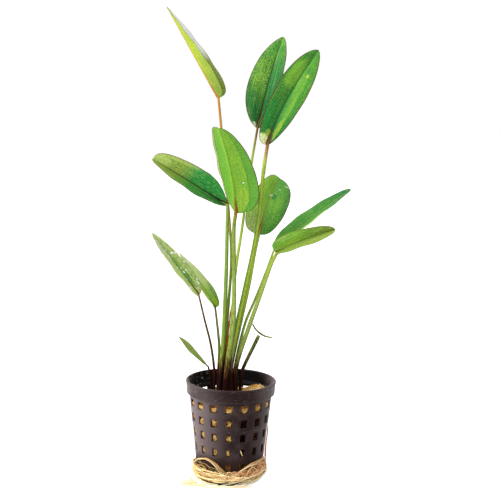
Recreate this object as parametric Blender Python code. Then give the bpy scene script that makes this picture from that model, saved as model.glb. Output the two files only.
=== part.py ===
"""A potted echinodorus: an aquarium plant in its nursery net pot, roots matted round the foot.

Metres, +Z up. The origin is on the floor under the pot, and the front looks along -Y. The sizes
below are in millimetres and become metres where a mesh is made.
"""
from math import cos, exp, pi, radians, sin

import bmesh
import bpy
from mathutils import Matrix, Vector

MM = 0.001
GAP = 0.35
SHARP_DEG = 40.0

# Net pot: a tapered cup with a collar, sixteen columns of square holes in five rows. It leans a little
# to the right and to the front on its roots. The pot, the wool and the rootstock are given in the pot's
# own upright frame, which stands on the middle of its foot.
POT_X = -1.35
POT_LEAN_DEG = 1.3
POT_TIP_DEG = 0.6
RIM_Z = 60.8
RIM_RADIUS = 27.6
COLLAR_Z = 53.0
COLLAR_RADIUS = 26.9
COLLAR_UNDERCUT = 0.5
COLLAR_LEDGE = 0.8
WALL_TOP_RADIUS = 25.3
FOOT_Z = 5.6
FOOT_RADIUS = 20.5
WALL = 1.2
COLLAR_WALL = 1.5
RIM_ROUNDING = 0.5
RIM_BEVEL = 0.3
STEP_Z = 34.2
STEP_DEPTH = 0.3
COLUMNS = 16
FIRST_COLUMN_DEG = -1.3
ROW_CENTRES = (11.3, 20.6, 30.0, 39.1, 48.3)
ROW_WIDTHS = (2.8, 3.1, 3.6, 4.3, 5.0)
HOLE_HEIGHT = 5.0
FLOOR_SLOT_RADII = (7.0, 16.0)

# Mineral wool plug inside the pot, hollow at the front right and tufted at the back right.
WOOL_TOP = 49.4
WOOL_SIDES = 32
WOOL_LEVELS = (12.0, 17.0, 22.0, 29.0, 35.0, 40.5, 44.5)
WOOL_LOOSE = 0.4
WOOL_RAGGED = 0.25
WOOL_RAGGED_COUNT = 3
WOOL_EDGE = 0.8
WOOL_EDGE_DROP = 1.2
WOOL_TOP_SHARES = (1.0, 0.8, 0.4, 0.0)
WOOL_LUMPS = (0.5, 0.3)
WOOL_LUMP_RATES = (0.55, 0.5, 0.9, 0.4)
WOOL_LUMP_START = 1.0
HOLLOW_DEG = 44.0
HOLLOW_SPREAD_DEG = 34.0
HOLLOW_Z = 29.5
HOLLOW_HEIGHT = 13.0
HOLLOW_DEPTH = 7.5
TUFT = (16.6, 7.5)
TUFT_HEIGHT = 4.2
TUFT_SPREAD = (4.5, 5.0)

# Rootstock where the stalks meet, in a dimple of the wool.
CROWN_CENTRE = (-2.8, 0.4)
CROWN_HALF = (11.6, 7.2)
CROWN_BOTTOM = 44.6
CROWN_TOP = 50.3
CROWN_SIDES = 20
CROWN_SHAPE = ((CROWN_BOTTOM, 0.72), (46.6, 0.94), (48.4, 1.0), (49.7, 0.96), (CROWN_TOP, 0.88))
DIMPLE_EASE = 0.8
DIMPLE_NARROWING = 0.98
STALK_FOOT_Z = 51.0

# Root mat round and under the pot's foot.
MAT_X = -1.2
MAT_SIDES = 36
MAT_RADIUS = 22.6
MAT_FLAT_RADIUS = 21.5
MAT_SKIRT = 1.6
MAT_SKIRT_DEG = -12.0
MAT_SKIRT_SPREAD_DEG = 50.0
MAT_RISE = 10.4
MAT_DIP = 1.0
MAT_LUMPS = 0.5
MAT_LUMP_COUNT = 5
MAT_LUMP_START = 0.6
MAT_BULGE = 0.5
MAT_BULGE_COUNT = 4
MAT_BULGE_START = 1.0
MAT_LOW_Z = 1.8
MAT_WIDE_Z = 4.6
MAT_WIDE = 0.6
MAT_TOP_EDGE = 1.6
MAT_LIP_DROP = 0.4
SHOULDER_DEG = 52.0
SHOULDER_SPREAD_DEG = 20.0
SHOULDER_HEIGHT = 6.2

TUBE_RESOLUTION = 1
TUBE_STEPS = 3
BLADE_STATIONS = 12
SECTION_CORNERS = 8
BLADE_THICKNESS = 0.7
MIDRIB_THICKNESS = 1.3
RIB_ABOVE = 0.3

# Each blade: three places on its midrib, where its upper face looks (degrees round from the
# front, degrees up) and its twist to the tip. Each half has its width, its fold up from the midrib
# in degrees, where along the blade it is widest, and how blunt it is at the base and at the tip
# (less is blunter).
BLADES = {
    "top_left": dict(base=(-7, -6, 231), middle=(-20, -4, 254), tip=(-37, 0, 284), face=(84, 5),
                     twist=8, left=(11.8, 33, 0.24, 0.3, 1.2), right=(11.2, 35, 0.2, 0.25, 0.95)),
    "top_middle": dict(base=(16, 18, 213), middle=(23.5, 24, 243), tip=(32, 34, 269), face=(-10, 20),
                       twist=-5, left=(12.2, 7, 0.38, 0.66, 0.8), right=(9, 22, 0.44, 0.52, 0.66)),
    "top_right": dict(base=(22, 10, 203), middle=(33, 12, 229), tip=(53, 18, 260), face=(5, 0),
                      twist=0, left=(10, 13, 0.65, 0.27, 0.62), right=(10, 18, 0.6, 0.79, 0.66)),
    "centre": dict(base=(3, -12, 164), middle=(0.5, -22, 188), tip=(-6, -34, 214), face=(165, 0),
                   twist=6, left=(15.5, 0, 0.29, 0.48, 0.54), right=(13.5, 39, 0.51, 0.62, 0.25)),
    "rear": dict(base=(17, 16, 148), middle=(23, 28, 167), tip=(31, 52, 180), face=(0, 40),
                 twist=-20, left=(11.3, 16, 0.25, 0.3, 0.36), right=(12.9, 11, 0.48, 0.4, 0.47)),
    "left": dict(base=(-2, -6, 168), middle=(-22.5, -2, 180.5), tip=(-47, 4, 195), face=(-15, 37),
                 twist=-14, left=(9.7, 34, 0.52, 0.66, 0.6), right=(10.5, 36, 0.42, 0.87, 0.32)),
    "right_upper": dict(base=(26, 9, 139), middle=(43.5, 10, 154.5), tip=(73, 14, 176), face=(-5, 65),
                        twist=6, left=(9.2, 5, 0.42, 0.69, 0.47), right=(9.8, 21, 0.4, 0.72, 0.36)),
    "right_lower": dict(base=(27.5, 2, 138), middle=(41, -4, 145.5), tip=(62, -10, 154), face=(0, 45),
                        twist=-20, left=(8.5, 55, 0.34, 0.25, 0.4), right=(9.5, 42, 0.53, 0.49, 0.41)),
    "low_front": dict(base=(-19, -12, 115), middle=(-29.5, -19, 131.5), tip=(-45, -28, 154),
                      face=(18, 34), twist=20, left=(5.6, 37, 0.47, 0.38, 0.54),
                      right=(5.2, 26, 0.4, 0.36, 0.6)),
    "low_rear": dict(base=(-9.6, 0, 105), middle=(-17.5, 2, 118), tip=(-32, 4, 139), face=(70, 40),
                     twist=20, left=(8, 20, 0.39, 0.41, 1.0), right=(6.8, 20, 0.33, 0.3, 1.05)),
    "small": dict(base=(-14, -3, 69.5), middle=(-24, -4, 79.5), tip=(-31.5, -6, 88.5), face=(35, 50),
                  twist=0, left=(3.4, 21, 0.4, 0.82, 0.83), right=(2.4, 25, 0.6, 0.95, 0.8)),
}

# Each stalk: where it stands on the rootstock, the places it passes and its two diameters.
# Its top is just short of its blade's base.
STALK_SHORT = 0.6
STALKS = {
    "top_left": dict(foot=(-5.0, 0.2), via=((-3.8, 0, 69.6), (-2.6, 0, 94.5), (0.1, -1, 131.5),
                                            (-0.7, -2, 156), (-3.8, -3.4, 194)), thick=(2.1, 1.4)),
    "top_middle": dict(foot=(-3.6, 3.5), via=((-2.9, 3.6, 69), (0.2, 4.5, 93.5), (2.3, 6, 124),
                                              (6.9, 10, 154.5), (11, 14, 184)), thick=(2.4, 1.4)),
    "top_right": dict(foot=(-0.3, -3.2), via=((-0.6, -2.1, 70.3), (3.6, -1, 94.7), (8.2, 1.5, 116),
                                              (15.1, 5.5, 149), (19.7, 8, 188)), thick=(3.3, 2.0)),
    "centre": dict(foot=(-4.1, -4.4), via=((-2.3, -5.4, 70.6), (1.2, -5, 95.5), (2, -6.5, 120),
                                           (1.8, -10, 152)), thick=(3.4, 2.1)),
    "rear": dict(foot=(-1.8, 0.8), via=((0.2, 1.9, 69.2), (5.4, 5, 93.4), (10.9, 9, 117.6),
                                        (14.3, 12.5, 136)), thick=(2.5, 1.6)),
    "left": dict(foot=(-7.6, -2.4), via=((-6, -2.6, 70.2), (-4.2, -3.5, 95), (-2.7, -5, 132),
                                         (-2.2, -6, 156)), thick=(3.2, 1.7)),
    "right_upper": dict(foot=(0.6, 3.2), via=((2.5, 4.2, 68.6), (8.1, 6.6, 93), (14.7, 8, 109),
                                              (20.6, 9, 124)), thick=(2.1, 1.3)),
    "right_lower": dict(foot=(2.3, -0.8), via=((3.2, -0.8, 69.7), (11.2, 0.4, 94.4), (16.4, 1, 109),
                                               (24.1, 2, 131)), thick=(3.1, 2.0)),
    "low_front": dict(foot=(-10.6, -1.2), via=((-10.4, -3, 67.8), (-12.3, -6, 84),
                                               (-15.6, -9.2, 99)), thick=(1.7, 1.1)),
    "low_rear": dict(foot=(-8.4, 1.8), via=((-7.8, 1, 67), (-7.4, 0.4, 82), (-8.6, 0, 96)),
                     thick=(2.0, 1.2)),
    "small": dict(foot=(-11.4, 2.0), via=((-12.6, -0.2, 62),), thick=(1.5, 1.0)),
}

CUT_STUMP = dict(foot=(5.0, 1.6), via=((6.3, 2, 62.8), (8.1, 2.6, 69)), top=(17, 5, 87),
                 thick=(1.9, 2.3))
WITHERED_SHRED = ((13.0, 4.4, 94.4), (14.1, 3.8, 92.4), (15.7, 3.4, 90.3), (17.9, 3.6, 88.4),
                  (21.0, 3.6, 86.7), (25.3, 3.0, 86.0))
SHRED_THICK = (0.8, 1.0)
DRIED_SHEATH = ((-3.8, -2.0, 66), (-2.6, -2.1, 82), (-1.2, -2.5, 95), (0.1, -3.2, 107))
SHEATH_THICK = (1.3, 0.7)

# Loose roots: three trail on the floor to the left, one climbs the pot's right side.
ROOT_STRANDS = {
    "root_strand_back": dict(via=((-22.7, -11.6, 0.9), (-26, -13, 0.8), (-31, -13.6, 0.8)),
                             thick=(1.5, 1.1)),
    "root_strand_middle": dict(via=((-20.6, -15.6, 0.9), (-25, -17, 0.8), (-31, -18.6, 0.8)),
                               thick=(1.6, 1.1)),
    "root_strand_front": dict(via=((-15.0, -21.4, 0.9), (-20, -20.8, 0.8), (-28.5, -21.4, 0.8)),
                              thick=(1.6, 1.1)),
    "root_strand_climbing": dict(via=((21.4, -3.4, 13.0), (21.6, -4.2, 20), (22.6, -3.4, 27),
                                      (23.1, -3, 33)), thick=(1.5, 1.0)),
}


def clear_scene():
    for item in list(bpy.data.objects):
        bpy.data.objects.remove(item, do_unlink=True)


def material(name, colour, roughness, metallic=0.0):
    made = bpy.data.materials.new(name)
    made.use_nodes = True
    shader = made.node_tree.nodes["Principled BSDF"]
    shader.inputs["Base Color"].default_value = (*colour, 1.0)
    shader.inputs["Roughness"].default_value = roughness
    shader.inputs["Metallic"].default_value = metallic
    return made


def add_object(name, data, finish):
    made = bpy.data.objects.new(name, data)
    data.materials.append(finish)
    bpy.context.scene.collection.objects.link(made)
    return made


def add_mesh(name, points, faces, finish):
    """A named object from points in millimetres; its faces are turned to point out."""
    mesh = bpy.data.meshes.new(name)
    shape = bmesh.new()
    corners = [shape.verts.new(Vector(point) * MM) for point in points]
    for face in faces:
        shape.faces.new([corners[index] for index in face])
    bmesh.ops.recalc_face_normals(shape, faces=shape.faces)
    shape.to_mesh(mesh)
    shape.free()
    mesh.shade_smooth()
    mesh.set_sharp_from_angle(angle=radians(SHARP_DEG))
    return add_object(name, mesh, finish)


def ring_faces(lower, upper, count):
    """Quads between two rings of points, given the index of each ring's first point."""
    return [(lower + i, lower + (i + 1) % count, upper + (i + 1) % count, upper + i)
            for i in range(count)]


def fan_faces(centre, ring, count):
    return [(centre, ring + i, ring + (i + 1) % count) for i in range(count)]


def smooth_route(points, steps):
    """A smooth curve through the points, with this many steps between each two."""
    points = [Vector(point) for point in points]
    ends = [2 * points[0] - points[1]] + points + [2 * points[-1] - points[-2]]
    route = []
    for before, start, end, after in zip(ends, ends[1:], ends[2:], ends[3:]):
        for step in range(steps):
            t = step / steps
            route.append(0.5 * (2 * start + (end - before) * t
                                + (2 * before - 5 * start + 4 * end - after) * t * t
                                + (3 * start - before - 3 * end + after) * t ** 3))
    route.append(points[-1])
    return route


def add_tube(name, points, thick, finish, steps=TUBE_STEPS):
    """A tapered tube on a smooth route; thick gives its first and last diameters."""
    curve = bpy.data.curves.new(name, "CURVE")
    curve.dimensions = "3D"
    curve.bevel_depth = 0.5 * MM
    curve.bevel_resolution = TUBE_RESOLUTION
    curve.use_fill_caps = True
    curve.resolution_u = 1
    curve.render_resolution_u = 0
    route = smooth_route(points, steps)
    spline = curve.splines.new("POLY")
    spline.points.add(len(route) - 1)
    for index, (place, point) in enumerate(zip(route, spline.points)):
        share = index / (len(route) - 1)
        point.co = (*(place * MM), 1.0)
        point.radius = thick[0] + (thick[1] - thick[0]) * share
    return add_object(name, curve, finish)


def wall_radius(z):
    """The pot's outer wall under the collar, with its moulded step."""
    radius = FOOT_RADIUS + (WALL_TOP_RADIUS - FOOT_RADIUS) * (z - FOOT_Z) / (COLLAR_Z - FOOT_Z)
    if z < STEP_Z:
        radius -= STEP_DEPTH
    return radius


def around(angle, radius, z, middle=0.0):
    """A place on a circle; the angle runs from the front to the right."""
    return (middle + radius * sin(angle), -radius * cos(angle), z)


def stand(point):
    """A place in the pot's own frame, moved to where the leaning pot has it."""
    spot = Vector(point) - Vector((0, 0, FOOT_Z))
    spot.rotate(Matrix.Rotation(radians(POT_LEAN_DEG), 3, "Y"))
    spot.rotate(Matrix.Rotation(radians(POT_TIP_DEG), 3, "X"))
    return spot + Vector((POT_X, 0, FOOT_Z))


def pot_levels():
    """Outer and inner radius, height and hole half width at each level, and the hole rows."""
    levels = [(FOOT_Z, FOOT_Z + WALL, ROW_WIDTHS[0])]
    holes = []
    for centre, width in zip(ROW_CENTRES, ROW_WIDTHS):
        holes.append(len(levels))
        levels.append((centre - HOLE_HEIGHT / 2, centre - HOLE_HEIGHT / 2, width))
        levels.append((centre + HOLE_HEIGHT / 2, centre + HOLE_HEIGHT / 2, width))
    rings = [(wall_radius(outer), outer, wall_radius(inner) - WALL, inner, width)
             for outer, inner, width in levels]
    top_width = ROW_WIDTHS[-1]
    under, above = COLLAR_Z - COLLAR_UNDERCUT, COLLAR_Z + COLLAR_LEDGE
    lip = RIM_Z - RIM_ROUNDING
    rings.append((WALL_TOP_RADIUS, under, WALL_TOP_RADIUS - WALL, under, top_width))
    rings.append((COLLAR_RADIUS, COLLAR_Z, COLLAR_RADIUS - COLLAR_WALL, above, top_width))
    rings.append((RIM_RADIUS, lip, RIM_RADIUS - COLLAR_WALL, lip, top_width))
    rings.append((RIM_RADIUS - RIM_ROUNDING, RIM_Z,
                  RIM_RADIUS - COLLAR_WALL + RIM_BEVEL, RIM_Z, top_width))
    return rings, holes


def net_pot(finish):
    rings, holes = pot_levels()
    per_ring = COLUMNS * 2
    points = []
    for side in (0, 2):
        for ring in rings:
            radius, z, width = ring[side], ring[side + 1], ring[4]
            for column in range(COLUMNS):
                middle = radians(FIRST_COLUMN_DEG) + column * 2 * pi / COLUMNS
                half = width / 2 / ring[0]
                points.append(around(middle - half, radius, z))
                points.append(around(middle + half, radius, z))
    inner = len(rings) * per_ring
    faces = []
    for level in range(len(rings) - 1):
        low, high = level * per_ring, (level + 1) * per_ring
        outer_quads = ring_faces(low, high, per_ring)
        inner_quads = ring_faces(inner + low, inner + high, per_ring)
        for index, (out, into) in enumerate(zip(outer_quads, inner_quads)):
            if level in holes and index % 2 == 0:
                faces += [(a, b, d, c) for a, b, c, d in zip(out, out[1:] + out[:1], into,
                                                             into[1:] + into[:1])]
            else:
                faces += [out, into]
    top = (len(rings) - 1) * per_ring
    faces += ring_faces(top, inner + top, per_ring)
    add_floor(points, faces, 0, inner, per_ring)
    return add_mesh("net_pot", [stand(point) for point in points], faces, finish)


def add_floor(points, faces, outer, inner, per_ring):
    """The pot's floor plate: a slot under every second column, open right through."""
    discs = []
    for z, edge in ((FOOT_Z, outer), (FOOT_Z + WALL, inner)):
        starts = [edge]
        for radius in reversed(FLOOR_SLOT_RADII):
            starts.append(len(points))
            for column in range(COLUMNS):
                middle = radians(FIRST_COLUMN_DEG) + column * 2 * pi / COLUMNS
                half = ROW_WIDTHS[0] / 2 / wall_radius(FOOT_Z)
                for angle in (middle - half, middle + half):
                    points.append(around(angle, radius, z))
        starts.append(len(points))
        points.append((0, 0, z))
        discs.append(starts)
    for band in range(2):
        lower = ring_faces(discs[0][band], discs[0][band + 1], per_ring)
        upper = ring_faces(discs[1][band], discs[1][band + 1], per_ring)
        for index, (low, high) in enumerate(zip(lower, upper)):
            if band == 1 and index % 4 == 0:
                faces += [(a, b, d, c) for a, b, c, d in zip(low, low[1:] + low[:1], high,
                                                             high[1:] + high[:1])]
            else:
                faces += [low, high]
    for starts in discs:
        faces += fan_faces(starts[3], starts[2], per_ring)


def hollow(angle, z):
    """How far the wool falls short of the wall: 0 away from the hollow."""
    turn = (angle - radians(HOLLOW_DEG) + pi) % (2 * pi) - pi
    across = exp(-(turn / radians(HOLLOW_SPREAD_DEG)) ** 4)
    along = exp(-((z - HOLLOW_Z) / HOLLOW_HEIGHT) ** 4)
    return HOLLOW_DEPTH * across * along


def wool_top(x, y):
    first, second, third, fourth = WOOL_LUMP_RATES
    lumps = WOOL_LUMPS[0] * sin(first * x + WOOL_LUMP_START) * cos(second * y)
    lumps += WOOL_LUMPS[1] * sin(third * y + fourth * x)
    away = ((x - TUFT[0]) / TUFT_SPREAD[0]) ** 2 + ((y - TUFT[1]) / TUFT_SPREAD[1]) ** 2
    return WOOL_TOP + lumps + TUFT_HEIGHT * exp(-away / 2)


def rock_wool(finish):
    bottom = FOOT_Z + WALL + GAP
    heights = (bottom, *WOOL_LEVELS)
    angles = [i * 2 * pi / WOOL_SIDES for i in range(WOOL_SIDES)]
    points = [(0, 0, bottom)]
    for z in heights:
        for angle in angles:
            ragged = WOOL_RAGGED * sin(WOOL_RAGGED_COUNT * angle + z) + WOOL_LOOSE
            reach = wall_radius(z) - WALL - GAP - ragged - hollow(angle, z)
            points.append(around(angle, reach, z))
    dimple = []
    for angle in angles:
        half_x, half_y = CROWN_HALF[0] + DIMPLE_EASE, CROWN_HALF[1] + DIMPLE_EASE
        dimple.append((CROWN_CENTRE[0] + half_x * sin(angle), CROWN_CENTRE[1] - half_y * cos(angle)))
    rim_reach = wall_radius(WOOL_TOP) - WALL - GAP - WOOL_EDGE
    for share in WOOL_TOP_SHARES:
        for angle, (near_x, near_y) in zip(angles, dimple):
            far_x, far_y = rim_reach * sin(angle), -rim_reach * cos(angle)
            x = near_x + (far_x - near_x) * share
            y = near_y + (far_y - near_y) * share
            z = wool_top(x, y) - (WOOL_EDGE_DROP if share == 1.0 else 0.0)
            points.append((x, y, z))
    for x, y in dimple:
        points.append((x * DIMPLE_NARROWING, y * DIMPLE_NARROWING, CROWN_BOTTOM - GAP))
    points.append((CROWN_CENTRE[0], CROWN_CENTRE[1], CROWN_BOTTOM - GAP))
    rings = len(heights) + len(WOOL_TOP_SHARES) + 1
    faces = fan_faces(0, 1, WOOL_SIDES)
    for ring in range(rings - 1):
        faces += ring_faces(1 + ring * WOOL_SIDES, 1 + (ring + 1) * WOOL_SIDES, WOOL_SIDES)
    faces += fan_faces(len(points) - 1, 1 + (rings - 1) * WOOL_SIDES, WOOL_SIDES)
    return add_mesh("rock_wool", [stand(point) for point in points], faces, finish)


def crown(finish):
    points = [(*CROWN_CENTRE, CROWN_BOTTOM)]
    for z, share in CROWN_SHAPE:
        for i in range(CROWN_SIDES):
            angle = i * 2 * pi / CROWN_SIDES
            points.append((CROWN_CENTRE[0] + CROWN_HALF[0] * share * cos(angle),
                           CROWN_CENTRE[1] + CROWN_HALF[1] * share * sin(angle), z))
    points.append((*CROWN_CENTRE, CROWN_TOP))
    faces = fan_faces(0, 1, CROWN_SIDES)
    for ring in range(len(CROWN_SHAPE) - 1):
        faces += ring_faces(1 + ring * CROWN_SIDES, 1 + (ring + 1) * CROWN_SIDES, CROWN_SIDES)
    faces += fan_faces(len(points) - 1, 1 + (len(CROWN_SHAPE) - 1) * CROWN_SIDES, CROWN_SIDES)
    return add_mesh("crown", [stand(point) for point in points], faces, finish)


def mat_height(angle):
    """The mat's top edge: lowest at the front, with a shoulder of root on each side of it."""
    turn = (angle + pi) % (2 * pi) - pi
    away = (abs(turn) - radians(SHOULDER_DEG)) / radians(SHOULDER_SPREAD_DEG)
    lumps = MAT_LUMPS * sin(MAT_LUMP_COUNT * angle + MAT_LUMP_START)
    return MAT_RISE - MAT_DIP * cos(angle) + lumps + SHOULDER_HEIGHT * exp(-away * away)


def mat_skirt(angle):
    """How much further the mat reaches at the floor, where roots spread forward from it."""
    turn = (angle - radians(MAT_SKIRT_DEG) + pi) % (2 * pi) - pi
    return MAT_SKIRT * exp(-(turn / radians(MAT_SKIRT_SPREAD_DEG)) ** 2)


def root_mat(finish):
    """Bottom, bulging outside, top edge, then down the pot's wall and under its foot."""
    seat = FOOT_Z - GAP
    points = [(MAT_X, 0, 0)]
    profiles = []
    for i in range(MAT_SIDES):
        angle = i * 2 * pi / MAT_SIDES
        top = mat_height(angle)
        bulge = MAT_BULGE * sin(MAT_BULGE_COUNT * angle + MAT_BULGE_START)
        skirt = mat_skirt(angle)
        edge = around(angle, MAT_RADIUS + bulge / 2, top, MAT_X)
        lip = stand(around(angle, wall_radius(top) + GAP, top))
        profiles.append([around(angle, MAT_FLAT_RADIUS + skirt, 0, MAT_X),
                         around(angle, MAT_RADIUS + bulge + skirt, MAT_LOW_Z, MAT_X),
                         around(angle, MAT_RADIUS + MAT_WIDE + bulge, MAT_WIDE_Z, MAT_X),
                         (edge[0], edge[1], top - MAT_TOP_EDGE),
                         (lip + Vector(edge)) / 2,
                         lip - Vector((0, 0, MAT_LIP_DROP)),
                         stand(around(angle, FOOT_RADIUS + GAP, seat))])
    count = len(profiles[0])
    for level in range(count):
        points += [profile[level] for profile in profiles]
    points.append(stand((0, 0, seat)))
    faces = fan_faces(0, 1, MAT_SIDES)
    for level in range(count - 1):
        faces += ring_faces(1 + level * MAT_SIDES, 1 + (level + 1) * MAT_SIDES, MAT_SIDES)
    faces += fan_faces(len(points) - 1, 1 + (count - 1) * MAT_SIDES, MAT_SIDES)
    return add_mesh("root_mat", points, faces, finish)


def half_width(t, widest, base_end, tip_end):
    """A leaf half's share of its full width, t along the midrib from base to tip."""
    if t < widest:
        return max(0.0, 1 - ((widest - t) / widest) ** 2) ** base_end
    return max(0.0, 1 - ((t - widest) / (1 - widest)) ** 2) ** tip_end


def blade_frame(blade, t):
    """The midrib's place at t, with the directions across the blade and out of its face."""
    base, middle, tip = (Vector(blade[key]) for key in ("base", "middle", "tip"))
    pull = 2 * middle - (base + tip) / 2
    place = (1 - t) ** 2 * base + 2 * t * (1 - t) * pull + t * t * tip
    along = (2 * (1 - t) * (pull - base) + 2 * t * (tip - pull)).normalized()
    round_deg, up_deg = blade["face"]
    face = Vector((cos(radians(up_deg)) * sin(radians(round_deg)),
                   -cos(radians(up_deg)) * cos(radians(round_deg)), sin(radians(up_deg))))
    side = along.cross(face).normalized()
    side.rotate(Matrix.Rotation(radians(-blade["twist"] * t), 3, along))
    return place, side, side.cross(along)


def blade_section(blade, t):
    """The eight corners of a blade's lens shaped section, round from its left margin."""
    place, side, out = blade_frame(blade, t)
    upper, lower, margins = [], [], []
    taper = 1.0
    for half, sign in (("left", -1), ("right", 1)):
        width, fold, widest, base_end, tip_end = blade[half]
        share = half_width(t, widest, base_end, tip_end)
        taper = min(taper, share ** 0.5)
        across = sign * side * cos(radians(fold)) + out * sin(radians(fold))
        normal = out * cos(radians(fold)) - sign * side * sin(radians(fold))
        middle = place + across * width * share * 0.5
        thick = BLADE_THICKNESS / 2 * share ** 0.5
        margins.append(place + across * width * share)
        upper.append(middle + normal * thick)
        lower.append(middle - normal * thick)
    rib = MIDRIB_THICKNESS * taper
    return [margins[0], upper[0], place + out * rib * RIB_ABOVE, upper[1],
            margins[1], lower[1], place - out * rib * (1 - RIB_ABOVE), lower[0]]


def add_blade(name, blade, finish):
    base = Vector(blade["base"]) + (Vector(blade["middle"]) - Vector(blade["base"])).normalized() * GAP
    points = [base]
    for station in range(1, BLADE_STATIONS):
        points += blade_section(blade, 0.5 - 0.5 * cos(pi * station / BLADE_STATIONS))
    points.append(Vector(blade["tip"]))
    faces = fan_faces(0, 1, SECTION_CORNERS)
    for ring in range(BLADE_STATIONS - 2):
        first = 1 + ring * SECTION_CORNERS
        faces += ring_faces(first, first + SECTION_CORNERS, SECTION_CORNERS)
    last = 1 + (BLADE_STATIONS - 2) * SECTION_CORNERS
    faces += fan_faces(len(points) - 1, last, SECTION_CORNERS)
    return add_mesh(name, points, faces, finish)


def add_stalk(name, stalk, base, finish):
    foot = (*stalk["foot"], STALK_FOOT_Z)
    back = Vector(stalk["via"][-1]) - Vector(base)
    top = Vector(base) + back.normalized() * STALK_SHORT
    return add_tube(name, (foot, *stalk["via"], top), stalk["thick"], finish)


def build():
    clear_scene()
    plastic = material("pot_plastic", (0.035, 0.027, 0.030), 0.42)
    wool = material("mineral_wool", (0.52, 0.30, 0.07), 0.95)
    rootstock = material("rootstock", (0.10, 0.035, 0.015), 0.8)
    roots = material("roots", (0.66, 0.46, 0.25), 0.8)
    leaf = material("leaf", (0.10, 0.30, 0.045), 0.4)
    stem = material("stem", (0.22, 0.30, 0.05), 0.5)
    dried = material("dried", (0.50, 0.17, 0.03), 0.8)
    net_pot(plastic)
    rock_wool(wool)
    crown(rootstock)
    root_mat(roots)
    for key, blade in BLADES.items():
        add_blade("blade_" + key, blade, leaf)
        add_stalk("stalk_" + key, STALKS[key], blade["base"], stem)
    stump = (*CUT_STUMP["foot"], STALK_FOOT_Z)
    add_tube("cut_stump", (stump, *CUT_STUMP["via"], CUT_STUMP["top"]), CUT_STUMP["thick"], stem)
    add_tube("withered_shred", WITHERED_SHRED, SHRED_THICK, stem)
    add_tube("dried_sheath", DRIED_SHEATH, SHEATH_THICK, dried)
    for key, strand in ROOT_STRANDS.items():
        add_tube(key, strand["via"], strand["thick"], roots)


build()
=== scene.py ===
"""The looks of a potted echinodorus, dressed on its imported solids.

Places and sizes are in millimetres in the part's own frame, and become metres where a mesh is made.
The front is -Y. The pot, wool, blades, stalks and roots repeat the driving sizes of the solids that
they stand for.
"""
from math import pi, radians

import bmesh
import bpy
import numpy as np
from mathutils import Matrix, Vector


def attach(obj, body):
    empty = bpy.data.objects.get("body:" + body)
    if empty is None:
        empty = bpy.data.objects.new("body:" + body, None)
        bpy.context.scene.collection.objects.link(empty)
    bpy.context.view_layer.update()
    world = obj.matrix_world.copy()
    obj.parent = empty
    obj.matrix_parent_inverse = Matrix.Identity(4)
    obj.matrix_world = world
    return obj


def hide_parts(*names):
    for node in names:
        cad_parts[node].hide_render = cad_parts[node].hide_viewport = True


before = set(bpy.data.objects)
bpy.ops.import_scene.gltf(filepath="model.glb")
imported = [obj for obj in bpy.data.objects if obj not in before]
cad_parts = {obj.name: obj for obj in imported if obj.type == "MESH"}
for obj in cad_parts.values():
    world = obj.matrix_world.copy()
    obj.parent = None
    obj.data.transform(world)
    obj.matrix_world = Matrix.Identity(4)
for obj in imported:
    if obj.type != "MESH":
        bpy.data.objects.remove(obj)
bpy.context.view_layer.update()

MM = 0.001
SEED = 11
scene = bpy.context.scene

# The camera stands where the photograph was taken from. Its place is in metres.
CAMERA_PLACE = (0.0115, -0.650, 0.2257)
CAMERA_DOWN_DEG = 7.47
LENS = 78.3
SENSOR = 36.0


def set_camera():
    lens = bpy.data.cameras.new("camera")
    lens.lens = LENS
    lens.sensor_width = SENSOR
    camera = bpy.data.objects.new("camera", lens)
    camera.location = CAMERA_PLACE
    camera.rotation_euler = (radians(90 - CAMERA_DOWN_DEG), 0, 0)
    scene.collection.objects.link(camera)
    scene.camera = camera


set_camera()


# Colours, as sRGB codes. LIT is the share of them that the surface itself has, the rest being light.
LIT = 0.8
PALETTE = dict(
    lime="bcd140", spring="8fc83c", apple="78b43c", grass="56a038", emerald="1c8a3c", jade="006c34",
    forest="1a7034", deep="10502a", moss="8ca23e", sage="a4b860", pale="c8dc84", lemon="f6fbb4",
    cream="eef0cc", straw="ecd9a0", tan="c9a15c", amber="d79a38", orange="c06018", rust="8c4420",
    russet="7a3e14", wine="521c16", soot="1a0c08", olive="7c843a", dusk="2f3a20", white="ffffff")


def tint(name, lit=LIT):
    """The named colour as linear light."""
    parts = [int(PALETTE[name][i:i + 2], 16) / 255 for i in (0, 2, 4)]
    return tuple(lit * (((c + 0.055) / 1.055) ** 2.4 if c > 0.04045 else c / 12.92) for c in parts)


def stops(text):
    """A ramp's stops, written as places and colour names, such as "0 soot, 1 moss"."""
    pairs = (stop.split() for stop in text.split(","))
    return [(float(at), tint(name)) for at, name in pairs]


class Nodes:
    """A node tree, and short calls that add nodes to it."""

    def __init__(self, tree):
        self.tree = tree

    def put(self, socket, value):
        if isinstance(value, Value):
            self.tree.links.new(value.socket, socket)
        elif socket.type == "RGBA":
            socket.default_value = (*value, 1.0)
        else:
            socket.default_value = value

    def make(self, kind, inputs, **settings):
        made = self.tree.nodes.new("ShaderNode" + kind)
        for key, value in settings.items():
            setattr(made, key, value)
        for key, value in inputs.items():
            self.put(made.inputs[key], value)
        return made

    def node(self, kind, inputs, output=0, **settings):
        return Value(self, self.make(kind, inputs, **settings).outputs[output])

    def math(self, operation, *values):
        return self.node("Math", dict(enumerate(values)), operation=operation)


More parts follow.
